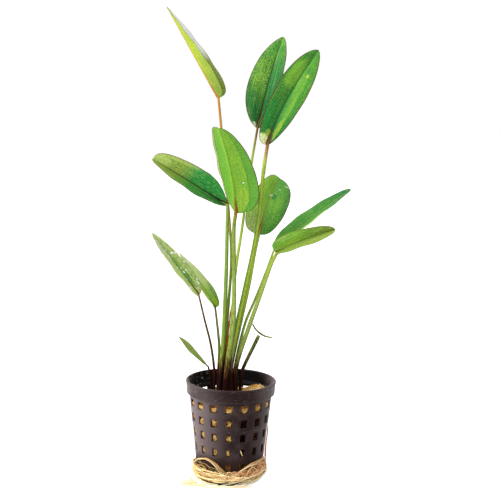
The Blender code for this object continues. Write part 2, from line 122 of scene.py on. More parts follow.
class Value:
    """What a node gives out, so that the sums of a material are written as plain sums."""

    def __init__(self, nodes, socket):
        self.nodes = nodes
        self.socket = socket

    def __add__(self, other):
        return self.nodes.math("ADD", self, other)

    def __radd__(self, other):
        return self.nodes.math("ADD", other, self)

    def __sub__(self, other):
        return self.nodes.math("SUBTRACT", self, other)

    def __rsub__(self, other):
        return self.nodes.math("SUBTRACT", other, self)

    def __mul__(self, other):
        return self.nodes.math("MULTIPLY", self, other)

    def __pow__(self, other):
        return self.nodes.math("POWER", self, other)

    def __abs__(self):
        return self.nodes.math("ABSOLUTE", self)

    def smooth(self, low, high, start=0.0, end=1.0):
        """start where the value is at low, end where it is at high, and smooth between them."""
        inputs = {0: self, 1: low, 2: high, 3: start, 4: end}
        return self.nodes.node("MapRange", inputs, interpolation_type="SMOOTHSTEP")

    def band(self, centre, reach):
        """1 where the value is at centre, falling smoothly to 0 at reach from it."""
        return 1.0 - abs(self - centre).smooth(0.0, reach)

    def ramp(self, places):
        made = self.nodes.make("ValToRGB", {0: self})
        line = made.color_ramp
        while len(line.elements) < len(places):
            line.elements.new(0.5)
        for element, (position, colour) in zip(line.elements, places):
            element.position = position
            element.color = (*colour, 1.0)
        return Value(self.nodes, made.outputs[0])

    def split(self):
        return [Value(self.nodes, out) for out in self.nodes.make("SeparateXYZ", {0: self}).outputs]

    def stretch(self, *factors):
        return self.nodes.node("VectorMath", {0: self, 1: factors}, operation="MULTIPLY")

    def noise(self, scale, detail=2.0, rough=0.5):
        return self.nodes.node("TexNoise", {"Vector": self, "Scale": scale, "Detail": detail,
                                            "Roughness": rough})

    def cells(self, scale):
        return self.nodes.node("TexVoronoi", {"Vector": self, "Scale": scale}, "Distance")

    def bump(self, depth_mm):
        return self.nodes.node("Bump", {"Height": self, "Distance": depth_mm * MM, "Strength": 1.0})


def mix(share, under, over):
    """One colour over another, as strongly as share says."""
    return share.nodes.node("Mix", {0: share, 6: under, 7: over}, 2, data_type="RGBA")


class Paint(Nodes):
    """A material while its nodes are made."""

    def __init__(self, name, **sockets):
        self.material = bpy.data.materials.new(name)
        self.material.use_nodes = True
        super().__init__(self.material.node_tree)
        self.shader = self.tree.nodes["Principled BSDF"]
        for socket, value in sockets.items():
            self.put(self.shader.inputs[socket.replace("_", " ")], value)

    def attribute(self, name):
        return self.node("Attribute", {}, "Vector", attribute_name=name)

    def place(self):
        """The surface's place in millimetres."""
        return self.node("TexCoord", {}, "Object").stretch(1 / MM, 1 / MM, 1 / MM)

    def finish(self, colour, roughness, normal=None):
        self.put(self.shader.inputs["Base Color"], colour)
        self.put(self.shader.inputs["Roughness"], roughness)
        if normal is not None:
            self.put(self.shader.inputs["Normal"], normal)
        return self.material


class Shell:
    """One piece's mesh while it is made: its points in millimetres, its faces, and values at each point."""

    def __init__(self):
        self.points, self.quads, self.triangles, self.values = [], [], [], {}
        self.total = 0

    def add(self, points, quads, triangles, **values):
        points = np.asarray(points, float).reshape(-1, 3)
        self.points.append(points)
        self.quads.append(np.asarray(quads, int).reshape(-1, 4) + self.total)
        self.triangles.append(np.asarray(triangles, int).reshape(-1, 3) + self.total)
        for name, rows in values.items():
            rows = np.broadcast_to(np.asarray(rows, float), (len(points), 3))
            self.values.setdefault(name, []).append(rows)
        self.total += len(points)

    def piece(self, name, finish, slot, *nodes):
        mesh = bpy.data.meshes.new(name)
        faces = np.concatenate(self.quads).tolist() + np.concatenate(self.triangles).tolist()
        mesh.from_pydata(np.concatenate(self.points) * MM, [], faces)
        for key, rows in self.values.items():
            layer = mesh.attributes.new(key, "FLOAT_VECTOR", "POINT")
            layer.data.foreach_set("vector", np.concatenate(rows).astype(np.float32).ravel())
        mesh.materials.append(finish)
        mesh.shade_smooth()
        made = bpy.data.objects.new(name, mesh)
        scene.collection.objects.link(made)
        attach(made, "root")
        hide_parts(*nodes)
        return made


def stack_faces(rows, columns):
    """Faces of a closed stack of rings, whose two end points come after the rings' points."""
    row, column = np.meshgrid(np.arange(rows - 1), np.arange(columns), indexing="ij")
    after = (column + 1) % columns
    quads = np.stack((row * columns + column, row * columns + after,
                      (row + 1) * columns + after, (row + 1) * columns + column), -1).reshape(-1, 4)
    index = np.arange(columns)
    onward = (index + 1) % columns
    first, last, top = rows * columns, rows * columns + 1, (rows - 1) * columns
    start = np.stack((np.full(columns, first), onward, index), -1)
    end = np.stack((np.full(columns, last), top + index, top + onward), -1)
    return quads, np.concatenate((start, end))


def unit(vectors):
    return vectors / np.maximum(np.linalg.norm(vectors, axis=-1, keepdims=True), 1e-9)


def hill(value, centre, spread):
    return np.exp(-((value - centre) / spread) ** 2)


def full_turn(count):
    return np.arange(count) * 2 * pi / count


def half_turn(angle):
    """The angle, brought to within half a turn of the front."""
    return (angle + pi) % (2 * pi) - pi


def smooth_route(points, steps):
    """A smooth curve through the points, with this many steps between each two."""
    points = np.asarray(points, float)
    ends = np.concatenate((2 * points[:1] - points[1:2], points, 2 * points[-1:] - points[-2:-1]))
    t = np.arange(steps)[:, None] / steps
    route = []
    for before, start, end, after in zip(ends, ends[1:], ends[2:], ends[3:]):
        route.append(0.5 * (2 * start + (end - before) * t
                            + (2 * before - 5 * start + 4 * end - after) * t * t
                            + (3 * start - before - 3 * end + after) * t ** 3))
    return np.concatenate(route + [points[-1:]])


def taper(thick, share):
    """The radius along a strand whose diameter goes from the first to the second of thick."""
    return (thick[0] + (thick[1] - thick[0]) * share) / 2


def shares(route):
    return np.arange(len(route)) / (len(route) - 1)


def add_strands(shell, routes, radii, sides, tone=None, shape=None):
    """Adds closed tubes along routes of as many points each. shape gives the radius's factor round them."""
    routes = np.asarray(routes, float)
    count, length = routes.shape[:2]
    along = unit(np.gradient(routes, axis=1))
    upright = np.abs(along[:, 0, 2:3]) > 0.8
    guess = np.where(upright, np.array((0.0, -1.0, 0.0)), np.array((0.0, 0.0, 1.0)))
    turning = [unit(np.cross(along[:, 0], guess))]
    for index in range(1, length):
        flat = turning[-1] - along[:, index] * (turning[-1] * along[:, index]).sum(-1, keepdims=True)
        turning.append(unit(flat))
    first = np.stack(turning, 1)
    second = np.cross(along, first)
    angles = full_turn(sides)
    factor = np.ones(sides) if shape is None else shape(angles)
    facing = first[:, :, None] * np.cos(angles)[:, None] + second[:, :, None] * np.sin(angles)[:, None]
    reach = np.asarray(radii, float).reshape(-1, length)[:, :, None, None] * factor[:, None]
    rings = routes[:, :, None] + facing * reach
    quads, triangles = stack_faces(length, sides)
    run = np.linalg.norm(np.diff(routes, axis=1), axis=2).cumsum(1)
    run = np.concatenate((np.zeros((count, 1)), run), 1)
    share = np.arange(length) / (length - 1)
    for index in range(count):
        points = np.concatenate((rings[index].reshape(-1, 3), routes[index, :1], routes[index, -1:]))
        at = np.concatenate((np.repeat(share, sides), (0, 1)))
        runs = np.concatenate((np.repeat(run[index], sides), (0, run[index, -1])))
        looks = np.concatenate((facing[index].reshape(-1, 3), -along[index, :1], along[index, -1:]))
        tones = np.full(len(points), 0.0 if tone is None else tone[index])
        shell.add(points, quads, triangles, strand=np.stack((at, runs, tones), -1), looks=looks)


def around(angle, radius, z, middle=0.0):
    """Places on circles; the angle runs from the front to the right."""
    angle, radius, z = np.broadcast_arrays(angle, radius, z)
    return np.stack((middle + radius * np.sin(angle), -radius * np.cos(angle), z), -1)


def rumple(rng, shape, size):
    """Smooth random lumps over a grid that closes on itself sideways."""
    rough = rng.normal(0, 1, shape)
    for axis, mode in ((1, "wrap"), (0, "edge")):
        pad = [(0, 0), (0, 0)]
        pad[axis] = (2, 2)
        wide = np.pad(rough, pad, mode=mode)
        rough = sum(np.roll(wide, step, axis) * weight
                    for step, weight in ((-2, 1), (-1, 3), (0, 4), (1, 3), (2, 1))) / 12
        rough = rough[2:-2] if axis == 0 else rough[:, 2:-2]
    return rough * size


# Net pot: a tapered cup with a collar, sixteen columns of square holes in five rows. It leans a little
# to the right and to the front on its roots. The pot, the wool and the rootstock are given in the pot's
# own upright frame, which stands on the middle of its foot.
POT_X = -1.35
POT_LEAN_DEG = 1.3
POT_TIP_DEG = 0.6
RIM_Z = 60.8
RIM_RADIUS = 27.6
COLLAR_Z = 53.0
COLLAR_RADIUS = 26.9
COLLAR_WALL = 1.5
WALL_TOP_RADIUS = 25.3
FOOT_Z = 5.6
FOOT_RADIUS = 20.5
WALL = 1.2
STEP_Z = 34.2
STEP_DEPTH = 0.3
COLUMNS = 16
FIRST_COLUMN_DEG = -1.3
ROW_CENTRES = (11.3, 20.6, 30.0, 39.1, 48.3)
ROW_WIDTHS = (2.8, 3.1, 3.6, 4.3, 5.0)
HOLE_HEIGHT = 5.0
HOLE_ROUNDING = 0.38
FLOOR_SLOT_RADII = (7.0, 16.0)
WALL_SLOPE = (WALL_TOP_RADIUS - FOOT_RADIUS) / (COLLAR_Z - FOOT_Z)
# How many steps a level takes across each hole and across the rib after it.
HOLE_STEPS = 4
RIB_STEPS = 4
PER_COLUMN = HOLE_STEPS + RIB_STEPS
PER_RING = COLUMNS * PER_COLUMN
# The middle of the leaning pot half way up, and how much wider its collar is than its wall runs on.
MIDDLE_X = POT_X + 0.6
COLLAR_STEP = 1.3
# The pot's colours; the near-black inside is painted shade, the pale flank colour is painted light and the
# glint colour is painted glints.
POT_COLOURS = dict(plastic=(0.017, 0.006, 0.006), dust=(0.05, 0.032, 0.032), painted_flank_light=(0.2, 0.155, 0.155),
                   inside=(0.001, 0.0005, 0.0005), glint=(0.7, 0.68, 0.68), scuff=(0.24, 0.19, 0.18),
                   gouge=(0.006, 0.004, 0.004), film_and_low_shade=(0.02, 0.008, 0.005))


def stand(points):
    """Places in the pot's own frame, moved to where the leaning pot has them."""
    x, y, z = np.moveaxis(np.asarray(points, float), -1, 0)
    z = z - FOOT_Z
    lean, tip = radians(POT_LEAN_DEG), radians(POT_TIP_DEG)
    x, z = x * np.cos(lean) + z * np.sin(lean), z * np.cos(lean) - x * np.sin(lean)
    y, z = y * np.cos(tip) - z * np.sin(tip), y * np.sin(tip) + z * np.cos(tip)
    return np.stack((x + POT_X, y, z + FOOT_Z), -1)


def wall_radius(z):
    """The pot's outer wall under the collar, with its moulded step."""
    radius = FOOT_RADIUS + (WALL_TOP_RADIUS - FOOT_RADIUS) * (z - FOOT_Z) / (COLLAR_Z - FOOT_Z)
    return radius - np.where(z < STEP_Z, STEP_DEPTH, 0.0)


def pot_profile():
    """Each level's radii and heights, outer and inner, and its holes' width; and where holes start."""
    levels = [(FOOT_Z, FOOT_Z + WALL, ROW_WIDTHS[0])]
    holes = []
    for centre, width in zip(ROW_CENTRES, ROW_WIDTHS):
        holes.append(len(levels))
        heights = [centre - HOLE_HEIGHT / 2, centre + HOLE_HEIGHT / 2]
        if centre < STEP_Z < centre + 9:
            heights += [STEP_Z - 0.15, STEP_Z + 0.15]
        levels += [(z, z, width) for z in heights]
    rings = [(wall_radius(outer), outer, wall_radius(inner) - WALL, inner, width)
             for outer, inner, width in levels]
    under = COLLAR_Z - 0.5
    inside = RIM_RADIUS - COLLAR_WALL
    rings += [(*ring, ROW_WIDTHS[-1]) for ring in (
        (WALL_TOP_RADIUS, under, WALL_TOP_RADIUS - WALL, under),
        (COLLAR_RADIUS, COLLAR_Z, COLLAR_RADIUS - COLLAR_WALL, COLLAR_Z + 0.8),
        (RIM_RADIUS - 0.3, RIM_Z - 1.7, inside, RIM_Z - 1.7),
        (RIM_RADIUS, RIM_Z - 1.2, inside, RIM_Z - 1.0),
        (RIM_RADIUS, RIM_Z - 0.45, inside + 0.1, RIM_Z - 0.4),
        (RIM_RADIUS - 0.45, RIM_Z, inside + 0.4, RIM_Z))]
    return rings, holes


def pot_angles(radius, width):
    """The angles of a level's points: across each hole, then across the rib after it."""
    half = width / 2 / radius
    turn = 2 * pi / COLUMNS
    across = np.linspace(-half, half, HOLE_STEPS + 1)
    rib = np.linspace(half, turn - half, RIB_STEPS + 1)[1:-1]
    middles = radians(FIRST_COLUMN_DEG) + np.arange(COLUMNS) * turn
    return (middles[:, None] + np.concatenate((across, rib))).ravel()


def ring_quads(low, high):
    index = np.arange(PER_RING)
    after = (index + 1) % PER_RING
    return np.stack((low + index, low + after, high + after, high + index), -1).tolist()


def edge_loop(outer, inner):
    """Faces that join the outside to the inside all round a hole, given the quads that it leaves out."""
    faces = []
    for number, (out, into) in enumerate(zip(outer, inner)):
        faces += [(out[0], out[1], into[1], into[0]), (out[2], out[3], into[3], into[2])]
        if number == 0:
            faces.append((out[3], out[0], into[0], into[3]))
        if number == len(outer) - 1:
            faces.append((out[1], out[2], into[2], into[1]))
    return faces


def band_faces(outer, inner, open_columns):
    """Faces of one band of the pot, outside and inside, with a hole in each open column."""
    faces = []
    for column in range(COLUMNS):
        start = column * PER_COLUMN
        split, end = start + HOLE_STEPS, start + PER_COLUMN
        if column in open_columns:
            faces += edge_loop(outer[start:split], inner[start:split])
        else:
            faces += outer[start:split] + inner[start:split]
        faces += outer[split:end] + inner[split:end]
    return faces


def make_pot():
    rings, holes = pot_profile()
    points = [around(pot_angles(ring[0], ring[4]), ring[side], ring[side + 1])
              for side in (0, 2) for ring in rings]
    inner = len(rings) * PER_RING
    faces = []
    for level in range(len(rings) - 1):
        low, high = level * PER_RING, (level + 1) * PER_RING
        faces += band_faces(ring_quads(low, high), ring_quads(inner + low, inner + high),
                            range(COLUMNS) if level in holes else ())
    faces += ring_quads(inner - PER_RING, 2 * inner - PER_RING)
    total = 2 * inner
    discs = []
    for z, edge in ((FOOT_Z, 0), (FOOT_Z + WALL, inner)):
        starts = [edge]
        for radius in reversed(FLOOR_SLOT_RADII):
            starts.append(total)
            points.append(around(pot_angles(rings[0][0], ROW_WIDTHS[0]), radius, z))
            total += PER_RING
        starts.append(total)
        points.append(np.array(((0.0, 0.0, z),)))
        total += 1
        discs.append(starts)
    under, upper = discs
    for band, open_columns in enumerate(((), range(0, COLUMNS, 2))):
        faces += band_faces(ring_quads(under[band], under[band + 1]),
                            ring_quads(upper[band], upper[band + 1]), open_columns)
    index = np.arange(PER_RING)
    fans = [np.stack((np.full(PER_RING, middle), ring + index, ring + (index + 1) % PER_RING), -1)
            for *_, ring, middle in discs]
    shell = Shell()
    shell.add(stand(np.concatenate(points)), faces, np.concatenate(fans))
    made = shell.piece("net_pot_shell", pot_finish(), "pot_plastic", "net_pot")
    turn_out(made.data)
    bevel = made.modifiers.new("rounded edges", "BEVEL")
    bevel.width = HOLE_ROUNDING * MM
    bevel.segments = 2
    bevel.limit_method = "ANGLE"
    bevel.angle_limit = radians(32)
    bevel.harden_normals = True


def turn_out(mesh):
    """Turns a closed mesh's faces to point out."""
    shape = bmesh.new()
    shape.from_mesh(mesh)
    bmesh.ops.recalc_face_normals(shape, faces=shape.faces)
    shape.to_mesh(mesh)
    shape.free()


def pot_finish():
    """Moulded black plastic, faintly mauve, dusty, worn on the collar: painted light on its flanks, painted
    shade in its clean inside and low down, painted glints inside.
    """
    paint = Paint("pot_plastic", Specular_IOR_Level=0.1, Sheen_Weight=0.5, Sheen_Roughness=0.3,
                  Sheen_Tint=(0.96, 0.87, 0.87))
    place = paint.place()
    x, y, z = place.split()
    from_axis = paint.math("SQRT", (x - MIDDLE_X) ** 2.0 + y ** 2.0)
    wall = FOOT_RADIUS - WALL * 0.75 + (z - FOOT_Z) * WALL_SLOPE
    wall = wall + z.smooth(COLLAR_Z - 0.8, COLLAR_Z + 0.8) * COLLAR_STEP
    outside = (from_axis - wall).smooth(-0.3, 0.3)
    on_collar = z.smooth(COLLAR_Z - 1, COLLAR_Z + 1)
    on_wall = 0.3 + z.smooth(COLLAR_Z + 1, COLLAR_Z - 1) * 0.7
    cloud = place.noise(0.09, 3.0, 0.6)
    grain = place.noise(1.6, 4.0, 0.65)
    dust = (cloud + grain * 0.4).smooth(0.5, 0.95)
    colour = mix(dust, POT_COLOURS["plastic"], POT_COLOURS["dust"])
    # Painted light: lighter on the left flank and the right edge, broken up like a dusty film.
    painted_flank_light = (x + cloud * 12.0).smooth(6.0, -17.0) * on_wall * z.smooth(13.0, 20.0)
    painted_flank_light = painted_flank_light + x.smooth(12.0, 24.0) * 0.4
    colour = mix(painted_flank_light * 0.75, colour, POT_COLOURS["painted_flank_light"])
    # Painted shade: the pot's inside is near black.
    colour = mix(outside, POT_COLOURS["inside"], colour)
    glint = place.stretch(1.0, 1.0, 2.4).noise(0.55, 3.0, 0.6).smooth(0.6, 0.66)
    glint = glint * (1.0 - outside) * x.smooth(-12.0, -18.0) * on_collar
    colour = mix(glint * 0.5, colour, POT_COLOURS["glint"])
    scuffs = place.stretch(0.5, 0.5, 2.0).noise(0.6, 5.0, 0.7).smooth(0.58, 0.66)
    scuffs = scuffs * (0.25 + on_collar * 0.75) * (0.25 + outside * 0.75)
    colour = mix(scuffs * 0.35, colour, POT_COLOURS["scuff"])
    gouge = place.stretch(1.0, 1.0, 1.6).noise(0.42, 4.0, 0.7).smooth(0.6, 0.66) * on_collar * outside
    colour = mix(gouge * 0.8, colour, POT_COLOURS["gouge"])
    # A rough layer low on the pot, whose dark colour is partly painted shade near the roots.
    film_and_low_shade = place.noise(0.5, 4.0, 0.6).smooth(0.28, 0.44) * outside * (1.0 - z.smooth(12.0, 21.0))
    colour = mix(film_and_low_shade * 0.85, colour, POT_COLOURS["film_and_low_shade"])
    roughness = 0.34 + grain * 0.14 + film_and_low_shade * 0.3 + scuffs * 0.15
    height = grain * 0.4 + gouge * -1.0 + scuffs * -0.5
    return paint.finish(colour, roughness, height.bump(0.12))


# Mineral wool plug inside the pot, hollow at the front right and tufted at the back right.
WOOL_TOP = 49.4
HOLLOW_DEG = 44.0
HOLLOW_SPREAD_DEG = 34.0
HOLLOW_Z = 29.5
HOLLOW_HEIGHT = 13.0
HOLLOW_DEPTH = 7.5
TUFT = (16.6, 7.5)
TUFT_HEIGHT = 4.2
TUFT_SPREAD = (4.5, 5.0)
# Low rises of the wool beside the tuft: the middle, how far they spread and how high they are.
RISES = ((6.5, 11.0, 3.6, 1.5), (-8.5, 20.5, 2.6, 2.2))
GAP = 0.35
CROWN_CENTRE = (-2.8, 0.4)
CROWN_HALF = (11.6, 7.2)
CROWN_BOTTOM = 44.6
CROWN_TOP = 50.3
STALK_FOOT_Z = 51.0
SIDE_FIBRES = 2300
TOP_FIBRES = 1500
HOLE_FIBRES = 34
FIBRE_POINTS = 6
FIBRE_STEPS = np.linspace(-0.5, 0.5, FIBRE_POINTS)
FIBRE_ARCH = np.cos(FIBRE_STEPS * pi)
# How far the fibres stay inside the pot's wall, and how far from the axis those on the top may reach.
FIBRE_CLEARANCE = 0.12
TOP_REACH = 22.4
# The one pale root that shows in a hole over the wool's hollow: degrees round from the front and height.
PALE_ROOT = ((17.6, 22.7), (19.4, 21.4), (20.8, 20.0), (22.6, 18.7))
PALE_TONE = 1.6


def hollow_share(angle, z):
    """1 in the middle of the wool's hollow, 0 away from it."""
    across = np.exp(-(half_turn(angle - radians(HOLLOW_DEG)) / radians(HOLLOW_SPREAD_DEG)) ** 4)
    return across * np.exp(-((z - HOLLOW_Z) / HOLLOW_HEIGHT) ** 4)


def wool_reach(angle, z):
    """How far out from the axis the wool's side stands."""
    ragged = 0.25 * np.sin(3 * angle + z) + 0.4
    return wall_radius(z) - WALL - GAP - ragged - HOLLOW_DEPTH * hollow_share(angle, z)


def wool_top(x, y):
    lumps = 0.5 * np.sin(0.55 * x + 1.0) * np.cos(0.5 * y) + 0.3 * np.sin(0.9 * y + 0.4 * x)
    away = ((x - TUFT[0]) / TUFT_SPREAD[0]) ** 2 + ((y - TUFT[1]) / TUFT_SPREAD[1]) ** 2
    rises = sum(high * hill(x, middle, wide) * hill(y, depth, wide) for middle, depth, wide, high in RISES)
    return WOOL_TOP + lumps + TUFT_HEIGHT * np.exp(-away / 2) + rises


def make_wool(rng):
    sides = 128
    angles = full_turn(sides)
    bottom = FOOT_Z + WALL + GAP
    heights = np.linspace(bottom, 47.6, 46)
    lumps = rumple(rng, (len(heights), sides), 0.55)
    rings = [around(angles, wool_reach(angles, z) - 0.35 + row, z) for z, row in zip(heights, lumps)]
    near_x = CROWN_CENTRE[0] + (CROWN_HALF[0] + 0.8) * np.sin(angles)
    near_y = CROWN_CENTRE[1] - (CROWN_HALF[1] + 0.8) * np.cos(angles)
    reach = wall_radius(WOOL_TOP) - WALL - GAP - 0.8
    inward = np.linspace(1.0, 0.0, 12)
    for share, row in zip(inward, rumple(rng, (len(inward), sides), 0.5)):
        x = near_x + (reach * np.sin(angles) - near_x) * share
        y = near_y + (-reach * np.cos(angles) - near_y) * share
        rings.append(np.stack((x, y, wool_top(x, y) - 1.0 * share ** 6 - 0.3 + row), -1))
    low = CROWN_BOTTOM - GAP
    rings.append(np.stack((near_x * 0.98, near_y * 0.98, np.full(sides, low)), -1))
    rings = np.stack(rings)
    quads, triangles = stack_faces(len(rings), sides)
    points = np.concatenate((rings.reshape(-1, 3), ((0, 0, bottom), (*CROWN_CENTRE, low))))
    # The plug's body takes a low tone, and none in its hollow: painted shade between the fibres and in the
    # hollow.
    tone = 0.3 * (1 - hollow_share(np.arctan2(points[:, 0], -points[:, 1]), points[:, 2]))
    strand = np.stack((np.full(len(points), 0.5), np.zeros(len(points)), tone), -1)
    shell = Shell()
    shell.add(stand(points), quads, triangles, strand=strand, looks=(0, 0, 1))
    add_side_fibres(shell, rng)
    add_hole_fibres(shell, rng)
    add_top_fibres(shell, rng)
    add_pale_root(shell)
    shell.piece("wool_plug", wool_finish(), "mineral_wool", "rock_wool")


def bent_run(heading, bend, length):
    """How far fibres run to each side of their middles, and across that."""
    run = length * FIBRE_STEPS
    way = heading + bend * run
    return run * np.cos(way), run * np.sin(way)


def add_side_fibres(shell, rng):
    """Fibres that lie along the plug's side, where the pot's holes show it."""
    one = (SIDE_FIBRES, 1)
    angle = rng.uniform(-pi, pi, one)
    z = rng.uniform(11.0, 47.5, one)
    heading = rng.normal(0, 0.9, one)
    bend = rng.normal(0, 0.12, one)
    length = rng.uniform(2.5, 7.0, one)
    lift = rng.uniform(-0.3, 0.35, one)
    across, rise = bent_run(heading, bend, length)
    where = angle + across / 22
    height = np.clip(z + rise, 10.5, 48.2)
    out = wool_reach(where, height) + lift + 0.25 * FIBRE_ARCH
    out = np.minimum(out, wall_radius(height) - WALL - FIBRE_CLEARANCE)
    radii = rng.uniform(0.07, 0.17, one) * np.ones(FIBRE_POINTS)
    column = 2 * pi / COLUMNS
    # Fibres in the hollow, and those at the left edge of each hole on the left side, are darker: painted
    # shade.
    shaded = (angle - radians(FIRST_COLUMN_DEG) + column / 2) % column - column / 2 < -0.02
    tones = rng.uniform(0, 1, one) * (1 - hollow_share(angle, z)) ** 2
    tones = np.where(shaded & (angle < -0.2), 0.25 * tones, tones)
    add_strands(shell, stand(around(where, out, height)), radii, 3, tones[:, 0])


def add_hole_fibres(shell, rng):
    """Fibres that the pot's holes let bulge out a little, where the wool isn't hollow."""
    steps = np.linspace(0, 1, FIBRE_POINTS)
    reach = HOLE_HEIGHT / 2 - 0.35
    routes, tones = [], []
    for column in range(COLUMNS):
        middle = radians(FIRST_COLUMN_DEG) + 2 * pi * column / COLUMNS
        for row, width in zip(ROW_CENTRES[1:], ROW_WIDTHS[1:]):
            if hollow_share(middle, row) > 0.3:
                continue
            count = int(HOLE_FIBRES * rng.uniform(0.6, 1.0))
            half = width / 2 - 0.35
            open_from = -half + 0.3 * width * min(max(-2 * middle, 0), 1)
            across = rng.uniform(open_from, half, (count, 2))
            high = rng.uniform(-reach, min(reach, WOOL_TOP - 0.6 - row), (count, 2))
            sunk = rng.uniform(0.3, 1.0, count)
            for number in range(count):
                side = across[number, 0] + (across[number, 1] - across[number, 0]) * steps
                z = row + high[number, 0] + (high[number, 1] - high[number, 0]) * steps
                out = wall_radius(z) - 0.15 - sunk[number] - 0.9 * (2 * steps - 1) ** 2
                routes.append(stand(around(middle + side / out, out, z)))
                tones.append(rng.uniform(0.4, 1.15))
    radii = rng.uniform(0.09, 0.2, (len(routes), 1)) * np.ones(FIBRE_POINTS)
    add_strands(shell, np.stack(routes), radii, 3, tones)


def add_pale_root(shell):
    path = smooth_route([(radians(deg), z, 0) for deg, z in PALE_ROOT], 4)
    route = stand(around(path[:, 0], wall_radius(path[:, 1]) - 0.5, path[:, 1]))
    share = np.linspace(0, 1, len(route))
    add_strands(shell, route[None], (0.16 + 0.2 * np.sin(pi * share))[None], 6, [PALE_TONE])


def add_top_fibres(shell, rng):
    """Fibres strewn over the plug's top, thickest and longest on its tuft."""
    one = (TOP_FIBRES, 1)
    on_tuft = rng.uniform(0, 1, one) < 0.42

    def draw(tuft, elsewhere):
        return np.where(on_tuft, rng.uniform(*tuft, one), rng.uniform(*elsewhere, one))

    spread = rng.normal(0, 1, (TOP_FIBRES, 2))
    spread_x, spread_y = spread[:, :1], spread[:, 1:]
    radius = np.sqrt(rng.uniform(0.12, 0.98, one)) * 21.0
    turn = rng.uniform(-pi, pi, one)
    on_rise = on_tuft & (rng.uniform(0, 1, one) < 0.3)
    x = np.where(on_tuft, TUFT[0] - 1.0 + spread_x * 4.0, radius * np.sin(turn))
    y = np.where(on_tuft, TUFT[1] + spread_y * 3.6, -radius * np.cos(turn))
    x = np.where(on_rise, RISES[0][0] + spread_x * 3.4, x)
    y = np.where(on_rise, RISES[0][1] + spread_y * 2.0, y)
    heading = rng.uniform(0, 2 * pi, one)
    bend = rng.normal(0, 0.2, one)
    length = draw((2.0, 9.0), (2.0, 6.0))
    arch = draw((-0.8, 2.4), (0.0, 0.6))
    across, back = bent_run(heading, bend, length)
    x, y = x + across, y + back
    out = np.maximum(np.hypot(x, y), 1e-6)
    keep = np.minimum(out, TOP_REACH) / out
    x, y = x * keep, y * keep
    routes = stand(np.stack((x, y, wool_top(x, y) + arch * FIBRE_ARCH - 0.1), -1))
    radii = draw((0.12, 0.36), (0.08, 0.24)) * np.linspace(1.1, 0.5, FIBRE_POINTS)
    add_strands(shell, routes, radii, 3, draw((0.35, 1.6), (0, 1))[:, 0])


def wool_finish():
    """Golden brown mineral fibre: each fibre has its own tone, and the plug's darker tone between them and in
    its hollow is painted shade.
    """
    paint = Paint("mineral_wool", Specular_IOR_Level=0.05)
    place = paint.place()
    tone = paint.attribute("strand").split()[2]
    fine = place.stretch(1.0, 1.0, 2.6).noise(1.4, 4.0, 0.65)
    broad = place.noise(0.22)
    colour = (tone * 0.6 + fine * 0.35 + broad * 0.15).ramp((
        (0.22, (0.01, 0.004, 0.002)), (0.4, (0.26, 0.1, 0.022)), (0.62, (0.76, 0.41, 0.08)),
        (1.0, (0.97, 0.76, 0.4))))
    return paint.finish(colour, 0.9, fine.bump(0.25))


# Each blade: three places on its midrib, where its upper face looks (degrees round from the
# front, degrees up) and its twist to the tip. Each half has its width, its fold up from the midrib
# in degrees, where along the blade it is widest, and how pointed it is at the base and at the tip.
BLADES = {
    "top_left": dict(base=(-7, -6, 231), middle=(-20, -4, 254), tip=(-37, 0, 284), face=(84, 5), twist=8,
                     left=(11.8, 33, 0.24, 0.3, 1.2), right=(11.2, 35, 0.2, 0.25, 0.95)),
    "top_middle": dict(base=(16, 18, 213), middle=(23.5, 24, 243), tip=(32, 34, 269), face=(-10, 20),
                       twist=-5, left=(12.2, 7, 0.38, 0.66, 0.8), right=(9, 22, 0.44, 0.52, 0.66)),
    "top_right": dict(base=(22, 10, 203), middle=(33, 12, 229), tip=(53, 18, 260), face=(5, 0), twist=0,
                      left=(10, 13, 0.65, 0.27, 0.62), right=(10, 18, 0.6, 0.79, 0.66)),
    "centre": dict(base=(3, -12, 164), middle=(0.5, -22, 188), tip=(-6, -34, 214), face=(165, 0), twist=6,
                   left=(15.5, 0, 0.29, 0.48, 0.54), right=(13.5, 39, 0.51, 0.62, 0.25)),
    "rear": dict(base=(17, 16, 148), middle=(23, 28, 167), tip=(31, 52, 180), face=(0, 40), twist=-20,
                 left=(11.3, 16, 0.25, 0.3, 0.36), right=(12.9, 11, 0.48, 0.4, 0.47)),
    "left": dict(base=(-2, -6, 168), middle=(-22.5, -2, 180.5), tip=(-47, 4, 195), face=(-15, 37),
                 twist=-14, left=(9.7, 34, 0.52, 0.66, 0.6), right=(10.5, 36, 0.42, 0.87, 0.32)),
    "right_upper": dict(base=(26, 9, 139), middle=(43.5, 10, 154.5), tip=(73, 14, 176), face=(-5, 65),
                        twist=6, left=(9.2, 5, 0.42, 0.69, 0.47), right=(9.8, 21, 0.4, 0.72, 0.36)),
    "right_lower": dict(base=(27.5, 2, 138), middle=(41, -4, 145.5), tip=(62, -10, 154), face=(0, 45),
                        twist=-20, left=(8.5, 55, 0.34, 0.25, 0.4), right=(9.5, 42, 0.53, 0.49, 0.41)),
    "low_front": dict(base=(-19, -12, 115), middle=(-29.5, -19, 131.5), tip=(-45, -28, 154), face=(18, 34),
                      twist=20, left=(5.6, 37, 0.47, 0.38, 0.54), right=(5.2, 26, 0.4, 0.36, 0.6)),
    "low_rear": dict(base=(-9.6, 0, 105), middle=(-17.5, 2, 118), tip=(-32, 4, 139), face=(70, 40), twist=20,
                     left=(8, 20, 0.39, 0.41, 1.0), right=(6.8, 20, 0.33, 0.3, 1.05)),
    "small": dict(base=(-14, -3, 69.5), middle=(-24, -4, 79.5), tip=(-31.5, -6, 88.5), face=(35, 50), twist=0,
                  left=(3.4, 21, 0.4, 0.82, 0.83), right=(2.4, 25, 0.6, 0.95, 0.8)),
}
